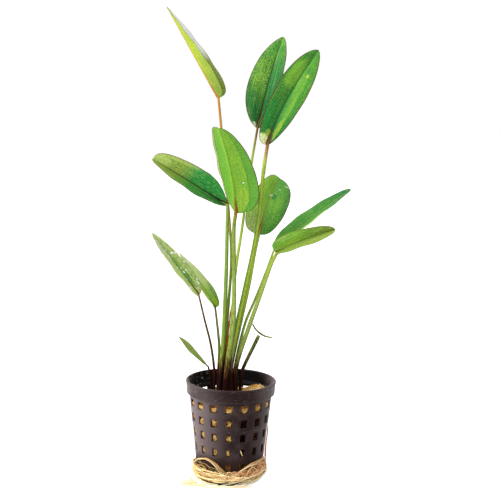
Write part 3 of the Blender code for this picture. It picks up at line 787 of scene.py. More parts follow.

# Each blade's colours from base to tip: its upper left and right halves, its underside and its midrib,
# and where along it they change. Then how strong are, on the left and right half, its dark cross veins
# and its grain of cells; how many bright painted glints it has, how streaked and mottled it is, how
# strong its brown margin, its fine dark mottle and the painted shade along its midrib are, and how far it
# bulges. Marks are spots: where along and across the blade, their reach both ways, colour and strength;
# the brightest marks, and one small cream one, are painted glints and sheen. A folded leaf has a dark
# crease along its left half, seen from below. What a leaf doesn't say is as in USUAL_LEAF.
USUAL_LEAF = dict(stops=(0.1, 0.5, 0.9), lines=(0.1, 0.1), painted_glints=0.0, streaks=0.1, mottled=0.2, margin=0.9,
                  shaded=1.0, bulge=0.05, folded=False)
LEAF_LOOKS = {
    "top_left": dict(
        # Its right half pales toward the tip, with a bright mark there: painted sheen.
        left="apple spring spring", right="moss sage white", under="moss lime lime", rib="orange amber",
        stops=(0.1, 0.55, 0.8), lines=(0.1, 0.0), grain=(0.05, 0.4), streaks=0.2, margin=0.5, shaded=0.6,
        marks=((0.75, 0.75, 0.3, 0.5, "white", 0.8),)),
    "top_middle": dict(
        left="forest apple grass", right="forest forest grass", under="apple spring spring", rib="wine dusk",
        stops=(0.1, 0.42, 0.9), lines=(0.8, 0.0), grain=(0.9, 0.1), streaks=0.25, mottled=0.35, bulge=0.07,
        marks=((0.12, -0.3, 0.1, 0.5, "forest", 0.6), (0.03, -0.5, 0.03, 0.4, "cream", 0.7),
               (0.3, -0.92, 0.2, 0.2, "forest", 0.5), (0.55, -0.5, 0.2, 0.4, "lime", 0.1),
               (0.24, -0.5, 0.12, 0.6, "forest", 0.4), (0.2, 0.5, 0.22, 0.5, "jade", 0.6),
               (0.6, 0.55, 0.3, 0.55, "forest", 0.35))),
    "top_right": dict(
        left="emerald grass grass", right="emerald grass grass", under="apple spring spring",
        rib="wine forest", stops=(0.12, 0.6, 0.85), lines=(1.0, 0.0), grain=(0.1, 0.1), mottled=0.3,
        bulge=0.07,
        marks=((0.06, -0.5, 0.07, 0.7, "lemon", 1.0), (0.14, -0.2, 0.05, 0.3, "lime", 0.7),
               (0.2, 0.38, 0.16, 0.25, "lime", 0.6), (0.42, 0.42, 0.2, 0.22, "spring", 0.45),
               (0.66, 0.3, 0.14, 0.3, "spring", 0.3), (0.75, -0.4, 0.16, 0.5, "spring", 0.6),
               (0.78, 0.4, 0.016, 0.1, "lime", 1.0), (0.3, -0.6, 0.2, 0.4, "emerald", 0.5))),
    "centre": dict(
        left="grass grass grass", right="grass grass grass", under="spring spring spring",
        rib="rust spring", stops=(0.2, 0.5, 0.9), lines=(0.3, 0.25), grain=(0.1, 0.1), margin=1.0,
        bulge=0.06, folded=True,
        # The first, tiny bright mark is a painted glint.
        marks=((0.38, -0.37, 0.01, 0.035, "white", 1.0), (0.15, -0.3, 0.2, 0.35, "lime", 0.25),
               (0.5, -0.9, 0.5, 0.3, "grass", 0.4), (0.1, -0.8, 0.14, 0.3, "grass", 0.5),
               (0.5, 0.55, 0.5, 0.5, "grass", 0.45))),
    "rear": dict(
        left="pale spring spring", right="grass apple grass", under="spring spring spring", rib="rust moss",
        stops=(0.05, 0.45, 0.85), lines=(0.2, 0.4), grain=(0.3, 0.35), painted_glints=0.1, streaks=0.0,
        mottled=0.15, margin=0.8, bulge=0.08,
        # The bright marks and the small cream one are painted glints.
        marks=((0.62, -0.02, 0.02, 0.04, "white", 0.9), (0.86, 0.75, 0.012, 0.2, "cream", 1.0),
               (0.75, 0.3, 0.01, 0.05, "white", 0.8), (0.6, 0.15, 0.06, 0.12, "forest", 0.8),
               (0.5, 0.9, 0.35, 0.22, "forest", 0.5))),
    "left": dict(
        left="forest grass moss", right="emerald emerald moss", under="apple spring spring",
        rib="soot dusk", stops=(0.25, 0.5, 0.68), grain=(0.3, 0.5), painted_glints=0.12, streaks=0.15, mottled=0.4,
        margin=0.7, bulge=0.06,
        marks=((0.93, 0.35, 0.12, 0.5, "sage", 0.8), (0.8, 0.9, 0.3, 0.2, "sage", 0.5),
               (0.5, -0.6, 0.25, 0.4, "forest", 0.4))),
    "right_upper": dict(
        left="grass grass forest", right="grass grass forest", under="pale pale pale", rib="moss moss",
        stops=(0.1, 0.6, 0.95), lines=(0.2, 0.1), grain=(0.3, 0.15), painted_glints=0.25, streaks=0.0, mottled=0.3,
        margin=0.4,
        marks=((0.55, 0.98, 0.28, 0.2, "pale", 1.0), (0.55, 1.0, 0.2, 0.15, "cream", 0.8))),
    "right_lower": dict(
        left="apple spring moss", right="moss moss moss", under="moss sage moss", rib="olive sage",
        lines=(0.15, 0.1), grain=(0.3, 0.1), painted_glints=0.08, streaks=0.4, margin=0.5,
        marks=((0.3, -0.2, 0.3, 0.3, "lime", 0.3),)),
    "low_front": dict(
        left="pale pale cream", right="pale pale pale", under="pale pale pale", rib="rust grass",
        stops=(0.1, 0.5, 0.85), grain=(0.4, 0.6), painted_glints=1.0, streaks=0.4, mottled=0.1, margin=0.1,
        shaded=0.2,
        marks=((0.4, -0.8, 0.5, 0.45, "pale", 0.8), (0.42, 0.12, 0.3, 0.3, "apple", 0.6),
               (0.35, 0.2, 0.12, 0.12, "forest", 0.6), (0.25, 0.0, 0.1, 0.1, "rust", 0.5),
               (0.14, -0.5, 0.16, 0.45, "pale", 0.7))),
    "low_rear": dict(
        left="spring lime cream", right="spring pale cream", under="lime pale pale", rib="wine spring",
        grain=(0.3, 0.3), painted_glints=0.3, streaks=1.0, mottled=0.1, margin=0.1, shaded=0.2,
        marks=((0.3, 0.0, 0.25, 0.4, "spring", 0.5), (0.7, 0.3, 0.3, 0.4, "pale", 0.5),
               (0.1, 0.0, 0.14, 0.8, "lime", 0.6))),
    "small": dict(
        left="moss sage sage", right="sage sage sage", under="sage sage sage", rib="olive sage",
        lines=(0.0, 0.0), grain=(0.2, 0.2), streaks=0.3, mottled=0.4, margin=0.3, shaded=0.6, bulge=0.04,
        marks=()),
}

LEAF_THICKNESS = 0.34
RIB_TIP = 0.16
RIB_EDGE = 1.3
RIB_COLUMNS = np.array((0.4, 0.75, 1.0, RIB_EDGE))
LAMINA_COLUMNS = np.array((0.08, 0.16, 0.24, 0.28, 0.31, 0.34, 0.38, 0.47, 0.56, 0.61, 0.65, 0.69, 0.77,
                           0.85, 0.92, 0.97, 1.0))
VEINS = (0.31, 0.65)
VEIN_SPREAD = 0.022
CROSS_VEIN_STEP = 1.5
FOLD_SHARE = -0.58
RIB_FADE = 0.35
RIPPLE = 0.3
RIPPLE_LENGTH = 17.0


def half_width(t, widest, base_end, tip_end):
    """A leaf half's share of its full width, t along the midrib from base to tip."""
    toward_base = np.maximum(0, 1 - ((widest - t) / widest) ** 2) ** base_end
    toward_tip = np.maximum(0, 1 - ((t - widest) / (1 - widest)) ** 2) ** tip_end
    return np.where(t < widest, toward_base, toward_tip)


def blade_lines(blade, t):
    """At each t: the midrib's place and run, and the directions across the blade and out of its face."""
    base, middle, tip = (np.array(blade[key], float) for key in ("base", "middle", "tip"))
    pull = 2 * middle - (base + tip) / 2
    t = t[:, None]
    place = (1 - t) ** 2 * base + 2 * t * (1 - t) * pull + t * t * tip
    along = unit(2 * (1 - t) * (pull - base) + 2 * t * (tip - pull))
    turn, lift = np.radians(blade["face"])
    face = np.array((np.cos(lift) * np.sin(turn), -np.cos(lift) * np.cos(turn), np.sin(lift)))
    side = unit(np.cross(along, face))
    twist = np.radians(-blade["twist"]) * t
    side = side * np.cos(twist) + np.cross(along, side) * np.sin(twist)
    return place, along, side, np.cross(side, along)


def rib_radius(t, stalk_top):
    return RIB_TIP + (0.42 * stalk_top - RIB_TIP) * (1 - t) ** 0.8


def blade_half(form, sign, t, run, rib, lines, wave, bulge):
    """One half of a blade: its upper and lower points, and how far they are across it."""
    place, side, out = lines
    width, fold, widest, base_end, tip_end = form
    wide = width * half_width(t, widest, base_end, tip_end)
    edge = np.minimum(rib, 0.25 * wide)
    start = edge * RIB_EDGE
    away = np.concatenate((edge[:, None] * RIB_COLUMNS,
                           start[:, None] + (wide - start)[:, None] * LAMINA_COLUMNS), 1)
    share = np.concatenate((np.zeros(len(RIB_COLUMNS)), LAMINA_COLUMNS))
    fold = radians(fold)
    across = sign * side * np.cos(fold) + out * np.sin(fold)
    normal = out * np.cos(fold) - sign * side * np.sin(fold)
    turned = np.clip(away / np.maximum(2.2 * edge, 1e-6)[:, None], 0, 1)[..., None]
    normal = unit(out[:, None] * (1 - turned) + normal[:, None] * turned)
    crown = bulge * wide[:, None] * np.sin(pi * share)
    crown = crown + RIPPLE * (wave * np.sin(pi * t))[:, None] * share ** 2
    vein = sum(hill(share, centre, VEIN_SPREAD) for centre in VEINS)
    vein = vein * np.clip(wide / 4, 0, 1)[:, None]
    thick = LEAF_THICKNESS / 2 * (1 - 0.75 * share ** 3)
    ribs = away / np.maximum(rib, 1e-6)[:, None]
    bead = np.sqrt(np.maximum(0, 1 - ribs ** 2))
    middle = place[:, None] + across[:, None] * away[..., None]
    upper = crown + thick - 0.05 * vein - 0.16 * rib[:, None] * bead
    lower = crown - thick - 0.12 * vein - 1.1 * rib[:, None] * bead
    return dict(upper=middle + normal * upper[..., None], lower=middle + normal * lower[..., None],
                share=sign * np.broadcast_to(share, away.shape), away=sign * away, ribs=ribs)


def make_blade(key, blade, look, stalk_top):
    base, tip = (np.array(blade[end], float) for end in ("base", "tip"))
    stations = int(np.linalg.norm(tip - base) / 0.75) + 24
    t = (0.5 - 0.5 * np.cos(pi * np.linspace(0, 1, stations + 2)))[1:-1]
    place, _, side, out = blade_lines(blade, t)
    run = np.linalg.norm(np.diff(place, axis=0, prepend=base[None]), axis=1).cumsum()
    rib = rib_radius(t, stalk_top)
    halves = []
    for number, half in enumerate(("left", "right")):
        wave = np.sin(2 * pi * run / RIPPLE_LENGTH + 2.1 * number + len(key))
        halves.append(blade_half(blade[half], 2 * number - 1, t, run, rib, (place, side, out), wave,
                                 look["bulge"]))

    def row(name, middle, lower=False):
        left, right = (half[name] for half in halves)
        whole = np.concatenate((left[:, ::-1], middle[:, None], right), 1)
        return whole[:, -2:0:-1] if lower else whole

    zero = np.zeros(stations)
    upper = row("upper", place + out * (LEAF_THICKNESS / 2 - 0.16 * rib)[:, None])
    lower = row("lower", place - out * (LEAF_THICKNESS / 2 + 1.1 * rib)[:, None], True)
    rings = np.concatenate((upper, lower), 1)
    share, away, ribs = (np.concatenate((row(name, zero), row(name, zero, True)), 1)
                         for name in ("share", "away", "ribs"))
    face = np.concatenate((np.ones(upper.shape[1]), np.zeros(lower.shape[1])))
    along_t, along_run = (np.broadcast_to(v[:, None], share.shape) for v in (t, run))
    values = np.stack((along_t, share, np.broadcast_to(face, share.shape)), -1).reshape(-1, 3)
    sizes = np.stack((along_run, away, ribs), -1).reshape(-1, 3)
    ends = np.array(((0, 0, 0.5), (1, 0, 0.5)), float)
    end_sizes = np.array(((0, 0, 0), (run[-1] + 0.3, 0, 0)), float)
    quads, triangles = stack_faces(stations, rings.shape[1])
    shell = Shell()
    shell.add(np.concatenate((rings.reshape(-1, 3), base[None], tip[None])), quads, triangles,
              leaf=np.concatenate((values, ends)), leaf_mm=np.concatenate((sizes, end_sizes)))
    shell.piece("leaf_" + key, leaf_finish(key, look), "leaf", "blade_" + key)


def leaf_finish(key, look):
    """A leaf: halves that change from base to tip, veins, grain, spots, midrib, a thin brown margin, painted
    glints and sheen, and painted shade along the midrib.
    """
    paint = Paint("leaf_" + key, Specular_IOR_Level=0.1)
    t, share, face = paint.attribute("leaf").split()
    run, away, ribs = paint.attribute("leaf_mm").split()
    spread = abs(away)
    out = abs(share)
    upper = face.smooth(0.45, 0.55)
    under = 1.0 - upper
    is_right = share.smooth(-0.01, 0.01)
    place = paint.node("CombineXYZ", {0: run, 1: away, 2: upper * 40.0})
    cloud = place.noise(0.16, 3.0, 0.55)
    along = t + (cloud - 0.5) * 0.3

    def by_half(values):
        return values[0] + is_right * (values[1] - values[0])

    def from_base(names):
        return along.ramp([(at, tint(name)) for at, name in zip(look["stops"], names.split())])

    colour = mix(is_right, from_base(look["left"]), from_base(look["right"]))
    colour = mix(upper, from_base(look["under"]), colour)
    broad = place.noise(0.3, 4.0, 0.6)
    colour = mix(broad.smooth(0.52, 0.68) * (0.5 * look["mottled"]), colour, tint("lime"))
    colour = mix(broad.smooth(0.48, 0.34) * (0.6 * look["mottled"]), colour, tint("forest"))
    wander = place.noise(0.5)
    phase = (run - spread * 0.3) * (1 / CROSS_VEIN_STEP) + wander * 1.6
    crossing = paint.math("PINGPONG", phase, 0.5).smooth(0.26, 0.08) * by_half(look["lines"])
    crossing = crossing * place.noise(0.14).smooth(0.34, 0.56)
    colour = mix(crossing * 0.75, colour, tint("deep"))
    cell = place.stretch(0.8, 1.0, 1.0).cells(0.95)
    grainy = by_half(look["grain"]) * place.noise(0.2).smooth(0.3, 0.6)
    colour = mix(cell.smooth(0.45, 0.62) * grainy * 0.8, colour, tint("forest"))
    colour = mix(cell.smooth(0.3, 0.16) * grainy * 0.55, colour, tint("lime", 1.0))
    lines = place.stretch(0.05, 1.0, 1.0).noise(1.1)
    colour = mix(lines.smooth(0.54, 0.66) * (0.75 * look["streaks"]), colour, tint("pale", 1.0))
    colour = mix(lines.smooth(0.46, 0.36) * (0.5 * look["streaks"]), colour, tint("grass"))
    for at, across, reach, wide, name, strength in look["marks"]:
        near = ((t - at) * (1 / reach)) ** 2.0 + ((share - across) * (1 / wide)) ** 2.0
        near = near + (cloud - 0.5) * 0.8
        colour = mix(near.smooth(1.2, 0.35) * strength, colour, tint(name, 0.9))
    arch = (out.band(VEINS[0], 0.02) + out.band(VEINS[1], 0.02)) * t.smooth(0.98, 0.8)
    colour = mix(arch * 0.4, colour, mix(upper, tint("grass"), tint("deep")))
    if look["folded"]:
        beyond = share.smooth(FOLD_SHARE + 0.01, FOLD_SHARE - 0.02)
        colour = mix(beyond * under * 0.5, colour, tint("grass"))
        colour = mix(share.band(FOLD_SHARE, 0.035) * under * 0.7, colour, tint("forest"))
        colour = mix(share.band(0.84, 0.05) * under * 0.6, colour, tint("forest"))
        colour = mix(share.smooth(0.88, 0.93) * under * 0.8, colour, tint("straw"))
    # Bright dots on the upper face: painted glints.
    spotted = 0.1 * look["painted_glints"]
    dots = place.stretch(0.6, 1.0, 1.0).cells(0.5).smooth(0.18 + spotted, 0.1 + spotted)
    dots = dots * place.noise(0.33).smooth(0.52 - spotted, 0.62 - spotted)
    colour = mix(dots * (0.9 * look["painted_glints"]) * upper, colour, tint("white", 0.95))
    fine = place.noise(1.1, 4.0, 0.65)
    colour = mix(fine.smooth(0.5, 0.36) * (0.55 * look["shaded"]), colour, tint("forest"))
    colour = mix(fine.smooth(0.54, 0.68) * 0.24, colour, tint("lime"))
    # Painted shade along the midrib's crease on the upper face.
    fold = spread.smooth(1.1, 0.5) * upper * t.smooth(0.9, 0.5)
    colour = mix(fold * (0.3 * look["shaded"]), colour, tint("deep"))
    rib_colour = mix(t.smooth(0.0, RIB_FADE), *[tint(name) for name in look["rib"].split()])
    rib_reach = 0.9 + t.smooth(0.25, 0.02) * 1.1
    in_rib = (ribs - rib_reach).smooth(0.15, -0.15) * t.smooth(1.0, 0.9)
    colour = mix(in_rib * 0.9, colour, rib_colour)
    to_edge = paint.math("DIVIDE", 1.0, paint.math("MAXIMUM", out, 0.02)) - 1.0
    rim = (spread * to_edge + (wander - 0.5) * 0.3).smooth(0.75, 0.4)
    rim_colour = mix(wander.smooth(0.35, 0.65), tint("russet"), tint("dusk"))
    colour = mix(rim * (0.92 * look["margin"]), colour, rim_colour)
    roughness = 0.36 + broad * 0.2 + fine * 0.1
    height = crossing * -0.5 + arch * -0.4 + fine * 0.6 + cell.smooth(0.5, 0.1) * grainy * 0.6
    return paint.finish(colour, roughness, height.bump(0.2))


# Each stalk: where it stands on the rootstock, the places it passes and its two diameters; then its
# colours from foot to top, the colour of the painted side shade down its left edge, partly its own tint,
# with where that starts and ends and how strong it is, and how strong its dots are.
STALKS = {
    "top_left": dict(
        foot=(-5.0, 0.2), thick=(2.1, 1.4), edge=("orange", 0.6, 1.0, 0.4), dots=0.3,
        via=((-3.8, 0, 69.6), (-2.6, 0, 94.5), (0.1, -1, 131.5), (-0.7, -2, 156), (-3.8, -3.4, 194)),
        tones="0 soot, 0.1 rust, 0.2 moss, 0.55 moss, 0.72 tan, 0.85 amber, 1 amber"),
    "top_middle": dict(
        foot=(-3.6, 3.5), thick=(2.4, 1.4), edge=("moss", 0.3, 1.0, 0.5), dots=0.2,
        via=((-2.9, 3.6, 69), (0.2, 4.5, 93.5), (2.3, 6, 124), (6.9, 10, 154.5), (11, 14, 184)),
        tones="0 soot, 0.12 wine, 0.25 moss, 0.5 lime, 0.85 lime, 0.92 rust, 1 wine"),
    "top_right": dict(
        foot=(-0.3, -3.2), thick=(3.3, 2.0), edge=("forest", 0.1, 0.75, 0.7), dots=0.8,
        via=((-0.6, -2.1, 70.3), (3.6, -1, 94.7), (8.2, 1.5, 116), (15.1, 5.5, 149), (19.7, 8, 188)),
        tones="0 soot, 0.1 rust, 0.18 sage, 0.3 lime, 0.8 lime, 0.87 tan, 0.95 rust, 1 wine"),
    "centre": dict(
        foot=(-4.1, -4.4), thick=(3.4, 2.1), edge=("moss", 0.2, 1.0, 0.7), dots=0.9,
        via=((-2.3, -5.4, 70.6), (1.2, -5, 95.5), (2, -6.5, 120), (1.8, -10, 152)),
        tones="0 soot, 0.12 rust, 0.2 moss, 0.5 sage, 0.8 moss, 1 orange"),
    "rear": dict(
        foot=(-1.8, 0.8), thick=(2.5, 1.6), edge=("grass", 0.2, 1.0, 0.6), dots=0.5,
        via=((0.2, 1.9, 69.2), (5.4, 5, 93.4), (10.9, 9, 117.6), (14.3, 12.5, 136)),
        tones="0 soot, 0.15 rust, 0.3 moss, 0.6 lime, 1 sage"),
    "left": dict(
        foot=(-7.6, -2.4), thick=(3.2, 1.7), edge=("grass", 0.3, 1.0, 0.4), dots=0.2,
        via=((-6, -2.6, 70.2), (-4.2, -3.5, 95), (-2.7, -5, 132), (-2.2, -6, 156)),
        tones="0 soot, 0.1 rust, 0.18 moss, 0.5 moss, 1 sage"),
    "right_upper": dict(
        foot=(0.6, 3.2), thick=(2.1, 1.3), edge=("grass", 0.2, 1.0, 0.4), dots=0.3,
        via=((2.5, 4.2, 68.6), (8.1, 6.6, 93), (14.7, 8, 109), (20.6, 9, 124)),
        tones="0 soot, 0.15 rust, 0.3 sage, 1 lime"),
    "right_lower": dict(
        foot=(2.3, -0.8), thick=(3.1, 2.0), edge=("moss", 0.3, 1.0, 0.6), dots=0.2,
        via=((3.2, -0.8, 69.7), (11.2, 0.4, 94.4), (16.4, 1, 109), (24.1, 2, 131)),
        tones="0 soot, 0.1 rust, 0.2 moss, 0.5 sage, 0.9 lime, 1 tan"),
    "low_front": dict(
        foot=(-10.6, -1.2), thick=(1.7, 1.1), edge=("olive", 0.3, 0.9, 0.3), dots=0.0,
        via=((-10.4, -3, 67.8), (-12.3, -6, 84), (-15.6, -9.2, 99)),
        tones="0 soot, 0.3 dusk, 0.5 wine, 0.85 wine, 1 rust"),
    "low_rear": dict(
        foot=(-8.4, 1.8), thick=(2.0, 1.2), edge=("wine", 0.4, 1.0, 0.9), dots=0.2,
        via=((-7.8, 1, 67), (-7.4, 0.4, 82), (-8.6, 0, 96)),
        tones="0 soot, 0.2 rust, 0.4 moss, 0.8 olive, 1 wine"),
    "small": dict(
        foot=(-11.4, 2.0), thick=(1.5, 1.0), edge=("dusk", 0, 1.0, 0.3), dots=0.0,
        via=((-12.6, -0.2, 62),), tones="0 soot, 0.5 dusk, 1 moss"),
}
STALK_STEPS = 12
STALK_SIDES = 20
RIDGES = 5
RIDGE_HEIGHT = 0.06
SHEATH_WIDENING = 0.34
SHEATH_LENGTH = 5.0
STALK_SUNK = 1.4
# Where a stalk runs on under its midrib, and its thickness there against the rib's.
RUN_ON = np.linspace(0.03, 0.16, 5)
RUN_ON_THINNING = np.array((1.0, 0.9, 0.75, 0.55, 0.3))
STALK_BASE_COLOUR = (0.012, 0.002, 0.0015)


def ridged(angles):
    return 1 + RIDGE_HEIGHT * np.cos(RIDGES * angles)


def tube(route, radii, sides, shape):
    shell = Shell()
    add_strands(shell, route[None], radii[None], sides, shape=shape)
    return shell


def make_stalk(key, stalk, blade):
    """A stalk from the rootstock to its blade, where it runs on under the midrib and thins out."""
    route = smooth_route(((*stalk["foot"], STALK_FOOT_Z), *stalk["via"], blade["base"]), STALK_STEPS)
    radii = taper(stalk["thick"], shares(route))
    radii = radii * (1 + SHEATH_WIDENING * np.exp((STALK_FOOT_Z - route[:, 2]) / SHEATH_LENGTH))
    place, _, _, out = blade_lines(blade, RUN_ON)
    rib = rib_radius(RUN_ON, stalk["thick"][1])
    route = np.concatenate((route[:1] - (0, 0, STALK_SUNK), route, place - out * (0.55 * rib)[:, None]))
    radii = np.concatenate((radii[:1], radii, rib * RUN_ON_THINNING))
    shell = tube(route, radii, STALK_SIDES, ridged)
    shell.piece("stem_" + key, stalk_finish("stem_" + key, stalk), "stem", "stalk_" + key)


def stalk_finish(name, look):
    """A stalk: colours that change from foot to top, fine streaks, dots, painted side shade and tint down one
    edge, painted shade on its side edges, and a dark foot.
    """
    paint = Paint(name, Specular_IOR_Level=0.09)
    share = paint.attribute("strand").split()[0]
    right = paint.attribute("looks").split()[0]
    place = paint.place()
    streak = place.stretch(1.0, 1.0, 0.12).noise(1.8, 3.0, 0.6)
    colour = (share + (streak - 0.5) * 0.1).ramp(stops(look["tones"]))
    # Painted side shade: the side whose normal points left takes the edge colour, partly the stalk's own
    # tint.
    edge, start, end, strength = look["edge"]
    reach = share.smooth(start - 0.05, start + 0.08) * share.smooth(end + 0.08, end - 0.05) * strength
    side = (right + streak * 0.4).smooth(0.35, -0.1)
    colour = mix(side * reach, colour, tint(edge))
    # Painted shade on the edges that face left and right.
    colour = mix(abs(right).smooth(0.72, 0.98) * 0.45, colour, tint("forest"))
    colour = mix(streak.smooth(0.52, 0.72) * 0.4, colour, tint("pale"))
    colour = mix(streak.smooth(0.48, 0.3) * 0.25, colour, tint("forest"))
    dots = place.stretch(1.0, 1.0, 0.5).cells(1.1).smooth(0.36, 0.24)
    dots = dots * place.noise(0.35).smooth(0.42, 0.58)
    colour = mix(dots * (0.8 * look["dots"]), colour, tint("wine"))
    # Dark red, then near black low down: the stalks' own dark red bases, with painted shade toward and inside
    # the pot's mouth.
    level = place.split()[2] + (streak - 0.5) * 26.0
    warm = mix(streak.smooth(0.4, 0.65), tint("wine", 0.7), tint("rust", 0.7))
    colour = mix(level.smooth(82.0, 66.0) * 0.9, colour, warm)
    colour = mix(level.smooth(77.0, 62.0) * 0.97, colour, STALK_BASE_COLOUR)
    height = streak * 0.8 + place.noise(3.0) * 0.3
    return paint.finish(colour, 0.4 + streak * 0.2, height.bump(0.12))


# The studio's soft light: each row is a direction, the cosines to it where a change in strength starts
# and ends, and the factors there. It is brightest above on the left, with a panel on the left and the
# photographer's dark side in front.
STUDIO = (
    ((-0.62, -0.3, 0.72), -0.5, 0.9, 0.55, 1.35),
    ((-0.94, 0.1, 0.33), 0.72, 0.95, 1.0, 2.0),
    ((0.22, -0.97, -0.08), 0.72, 0.93, 1.0, 0.12),
)
# The lamps: place, size and power, in metres and watts. Both point at the middle of the plant.
LAMPS = {"key": ((-0.8, -0.7, 0.9), 0.5, 11.0), "fill": ((0.9, -0.8, 0.6), 0.9, 1.5)}
LAMP_TARGET = (0, 0, 0.14)
FLOOR_HALF = 3.0
FLOOR_DROP = 0.0002


def set_studio():
    world = bpy.data.worlds.new("studio")
    world.use_nodes = True
    nodes = Nodes(world.node_tree)
    facing = nodes.node("TexCoord", {}, "Generated")
    light = None
    for direction, low, high, dim, bright in STUDIO:
        toward = nodes.node("VectorMath", {0: facing, 1: direction}, "Value", operation="DOT_PRODUCT")
        soft = toward.smooth(low, high, dim, bright)
        light = soft if light is None else light * soft
    seen = nodes.node("LightPath", {}, "Is Camera Ray")
    background = nodes.tree.nodes["Background"]
    nodes.put(background.inputs["Strength"], nodes.node("Mix", {0: seen, 2: light, 3: 1.0}))
    nodes.put(background.inputs["Color"], (1, 1, 1))
    scene.world = world
    scene.view_settings.view_transform = "Standard"


def add_lamp(name, place, size, power):
    data = bpy.data.lights.new(name, "AREA")
    data.shape = "DISK"
    data.size = size
    data.energy = power
    lamp = bpy.data.objects.new(name, data)
    lamp.location = place
    lamp.visible_camera = False
    toward = Vector(LAMP_TARGET) - Vector(place)
    lamp.rotation_euler = toward.to_track_quat("-Z", "Y").to_euler()
    scene.collection.objects.link(lamp)


def set_stage():
    """A pale floor in soft, bright studio light from the upper left."""
    set_studio()
    half = FLOOR_HALF
    mesh = bpy.data.meshes.new("floor")
    mesh.from_pydata([(-half, -half, 0), (half, -half, 0), (half, half, 0), (-half, half, 0)], [],
                     [(0, 1, 2, 3)])
    paint = Paint("floor", Specular_IOR_Level=0.0)
    colour = mix(paint.place().noise(0.02, 3.0), (0.56, 0.56, 0.56), (0.6, 0.6, 0.6))
    paint.put(paint.shader.inputs["Emission Color"], (1.0, 1.0, 1.0))
    paint.put(paint.shader.inputs["Emission Strength"],
              paint.node("LightPath", {}, "Is Camera Ray") * 0.8)
    mesh.materials.append(paint.finish(colour, 0.7))
    floor = bpy.data.objects.new("floor", mesh)
    floor.location = (0, 0, -FLOOR_DROP)
    scene.collection.objects.link(floor)
    for name, (place, size, power) in LAMPS.items():
        add_lamp(name, place, size, power)


# The rootstock's levels and their share of its full width.
CROWN_LEVELS = ((CROWN_BOTTOM, 0.72), (46.0, 0.88), (47.4, 0.98), (48.4, 1.0), (49.3, 0.97), (49.9, 0.9),
                (50.2, 0.75), (CROWN_TOP, 0.5), (50.2, 0.25))


def make_crown(rng):
    """The rootstock: a lumpy oval of old leaf bases."""
    sides = 72
    angles = full_turn(sides)
    lumps = rumple(rng, (len(CROWN_LEVELS), sides), 0.05)
    scales = 0.03 * np.sin(9 * angles)
    rings = []
    for (z, share), row in zip(CROWN_LEVELS, lumps):
        reach = np.minimum(share + row + scales * share, 1.0)
        rings.append(np.stack((CROWN_CENTRE[0] + CROWN_HALF[0] * reach * np.sin(angles),
                               CROWN_CENTRE[1] - CROWN_HALF[1] * reach * np.cos(angles),
                               z + 4 * row * (z > 49)), -1))
    rings = np.stack(rings)
    quads, triangles = stack_faces(len(rings), sides)
    points = np.concatenate((rings.reshape(-1, 3), ((*CROWN_CENTRE, CROWN_BOTTOM), (*CROWN_CENTRE, 50.1))))
    shell = Shell()
    shell.add(stand(points), quads, triangles)
    shell.piece("rootstock", rootstock_finish(), "rootstock", "crown")


def rootstock_finish():
    paint = Paint("rootstock", Specular_IOR_Level=0.4)
    cloud = paint.place().noise(0.5, 4.0, 0.6)
    colour = cloud.ramp(((0.3, (0.02, 0.008, 0.005)), (0.5, (0.075, 0.025, 0.012)),
                         (0.7, (0.17, 0.075, 0.03))))
    return paint.finish(colour, 0.55, cloud.bump(0.5))


# The cut stump, its withered shred and the dried sheath between the stalks.
CUT_STUMP = dict(foot=(5.0, 1.6), via=((6.3, 2, 62.8), (8.1, 2.6, 69)), top=(17, 5, 87), thick=(1.9, 2.3),
                 tones="0 soot, 0.2 dusk, 0.6 olive, 0.93 dusk, 0.985 olive, 1 straw",
                 edge=("moss", 0.2, 0.9, 0.6), dots=0.3)
CUT_EDGE = 0.93
WITHERED_SHRED = dict(via=((13.0, 4.4, 94.4), (14.1, 3.8, 92.4), (15.7, 3.4, 90.3), (17.9, 3.6, 88.4),
                           (21.0, 3.6, 86.7), (25.3, 3.0, 86.0)), thick=(0.8, 1.0),
                      tones="0 dusk, 0.4 olive, 0.6 dusk, 0.8 olive, 1 moss", edge=("dusk", 0.0, 1.0, 0.3),
                      dots=0.0)
DRIED_SHEATH = dict(via=((-3.8, -2.0, 66), (-2.6, -2.1, 82), (-1.2, -2.5, 95), (0.1, -3.2, 107)),
                    thick=(1.3, 0.7), tones="0 wine, 0.15 rust, 0.4 orange, 0.75 orange, 1 amber")


def make_stump():
    """A stalk cut off square: it widens upward, and its cut end is flat, ragged and paler."""
    route = smooth_route(((*CUT_STUMP["foot"], STALK_FOOT_Z - STALK_SUNK), *CUT_STUMP["via"],
                          CUT_STUMP["top"]), STALK_STEPS)
    radii = taper(CUT_STUMP["thick"], shares(route))
    radii[-1] *= CUT_EDGE
    shell = tube(route, radii, STALK_SIDES, ridged)
    shell.piece("stump", stalk_finish("stem_stump", CUT_STUMP), "stem", "cut_stump")


def make_shred():
    """A thin curled strip of withered leaf: flattened, and thinner to both ends."""
    route = smooth_route(WITHERED_SHRED["via"], 8)
    share = shares(route)
    radii = taper(WITHERED_SHRED["thick"], share) * (0.75 + 0.5 * np.sin(pi * share) ** 0.6)
    shell = tube(route, radii, 12, lambda angles: 0.75 + 0.25 * np.abs(np.cos(angles)))
    shell.piece("shred", stalk_finish("stem_shred", WITHERED_SHRED), "stem", "withered_shred")


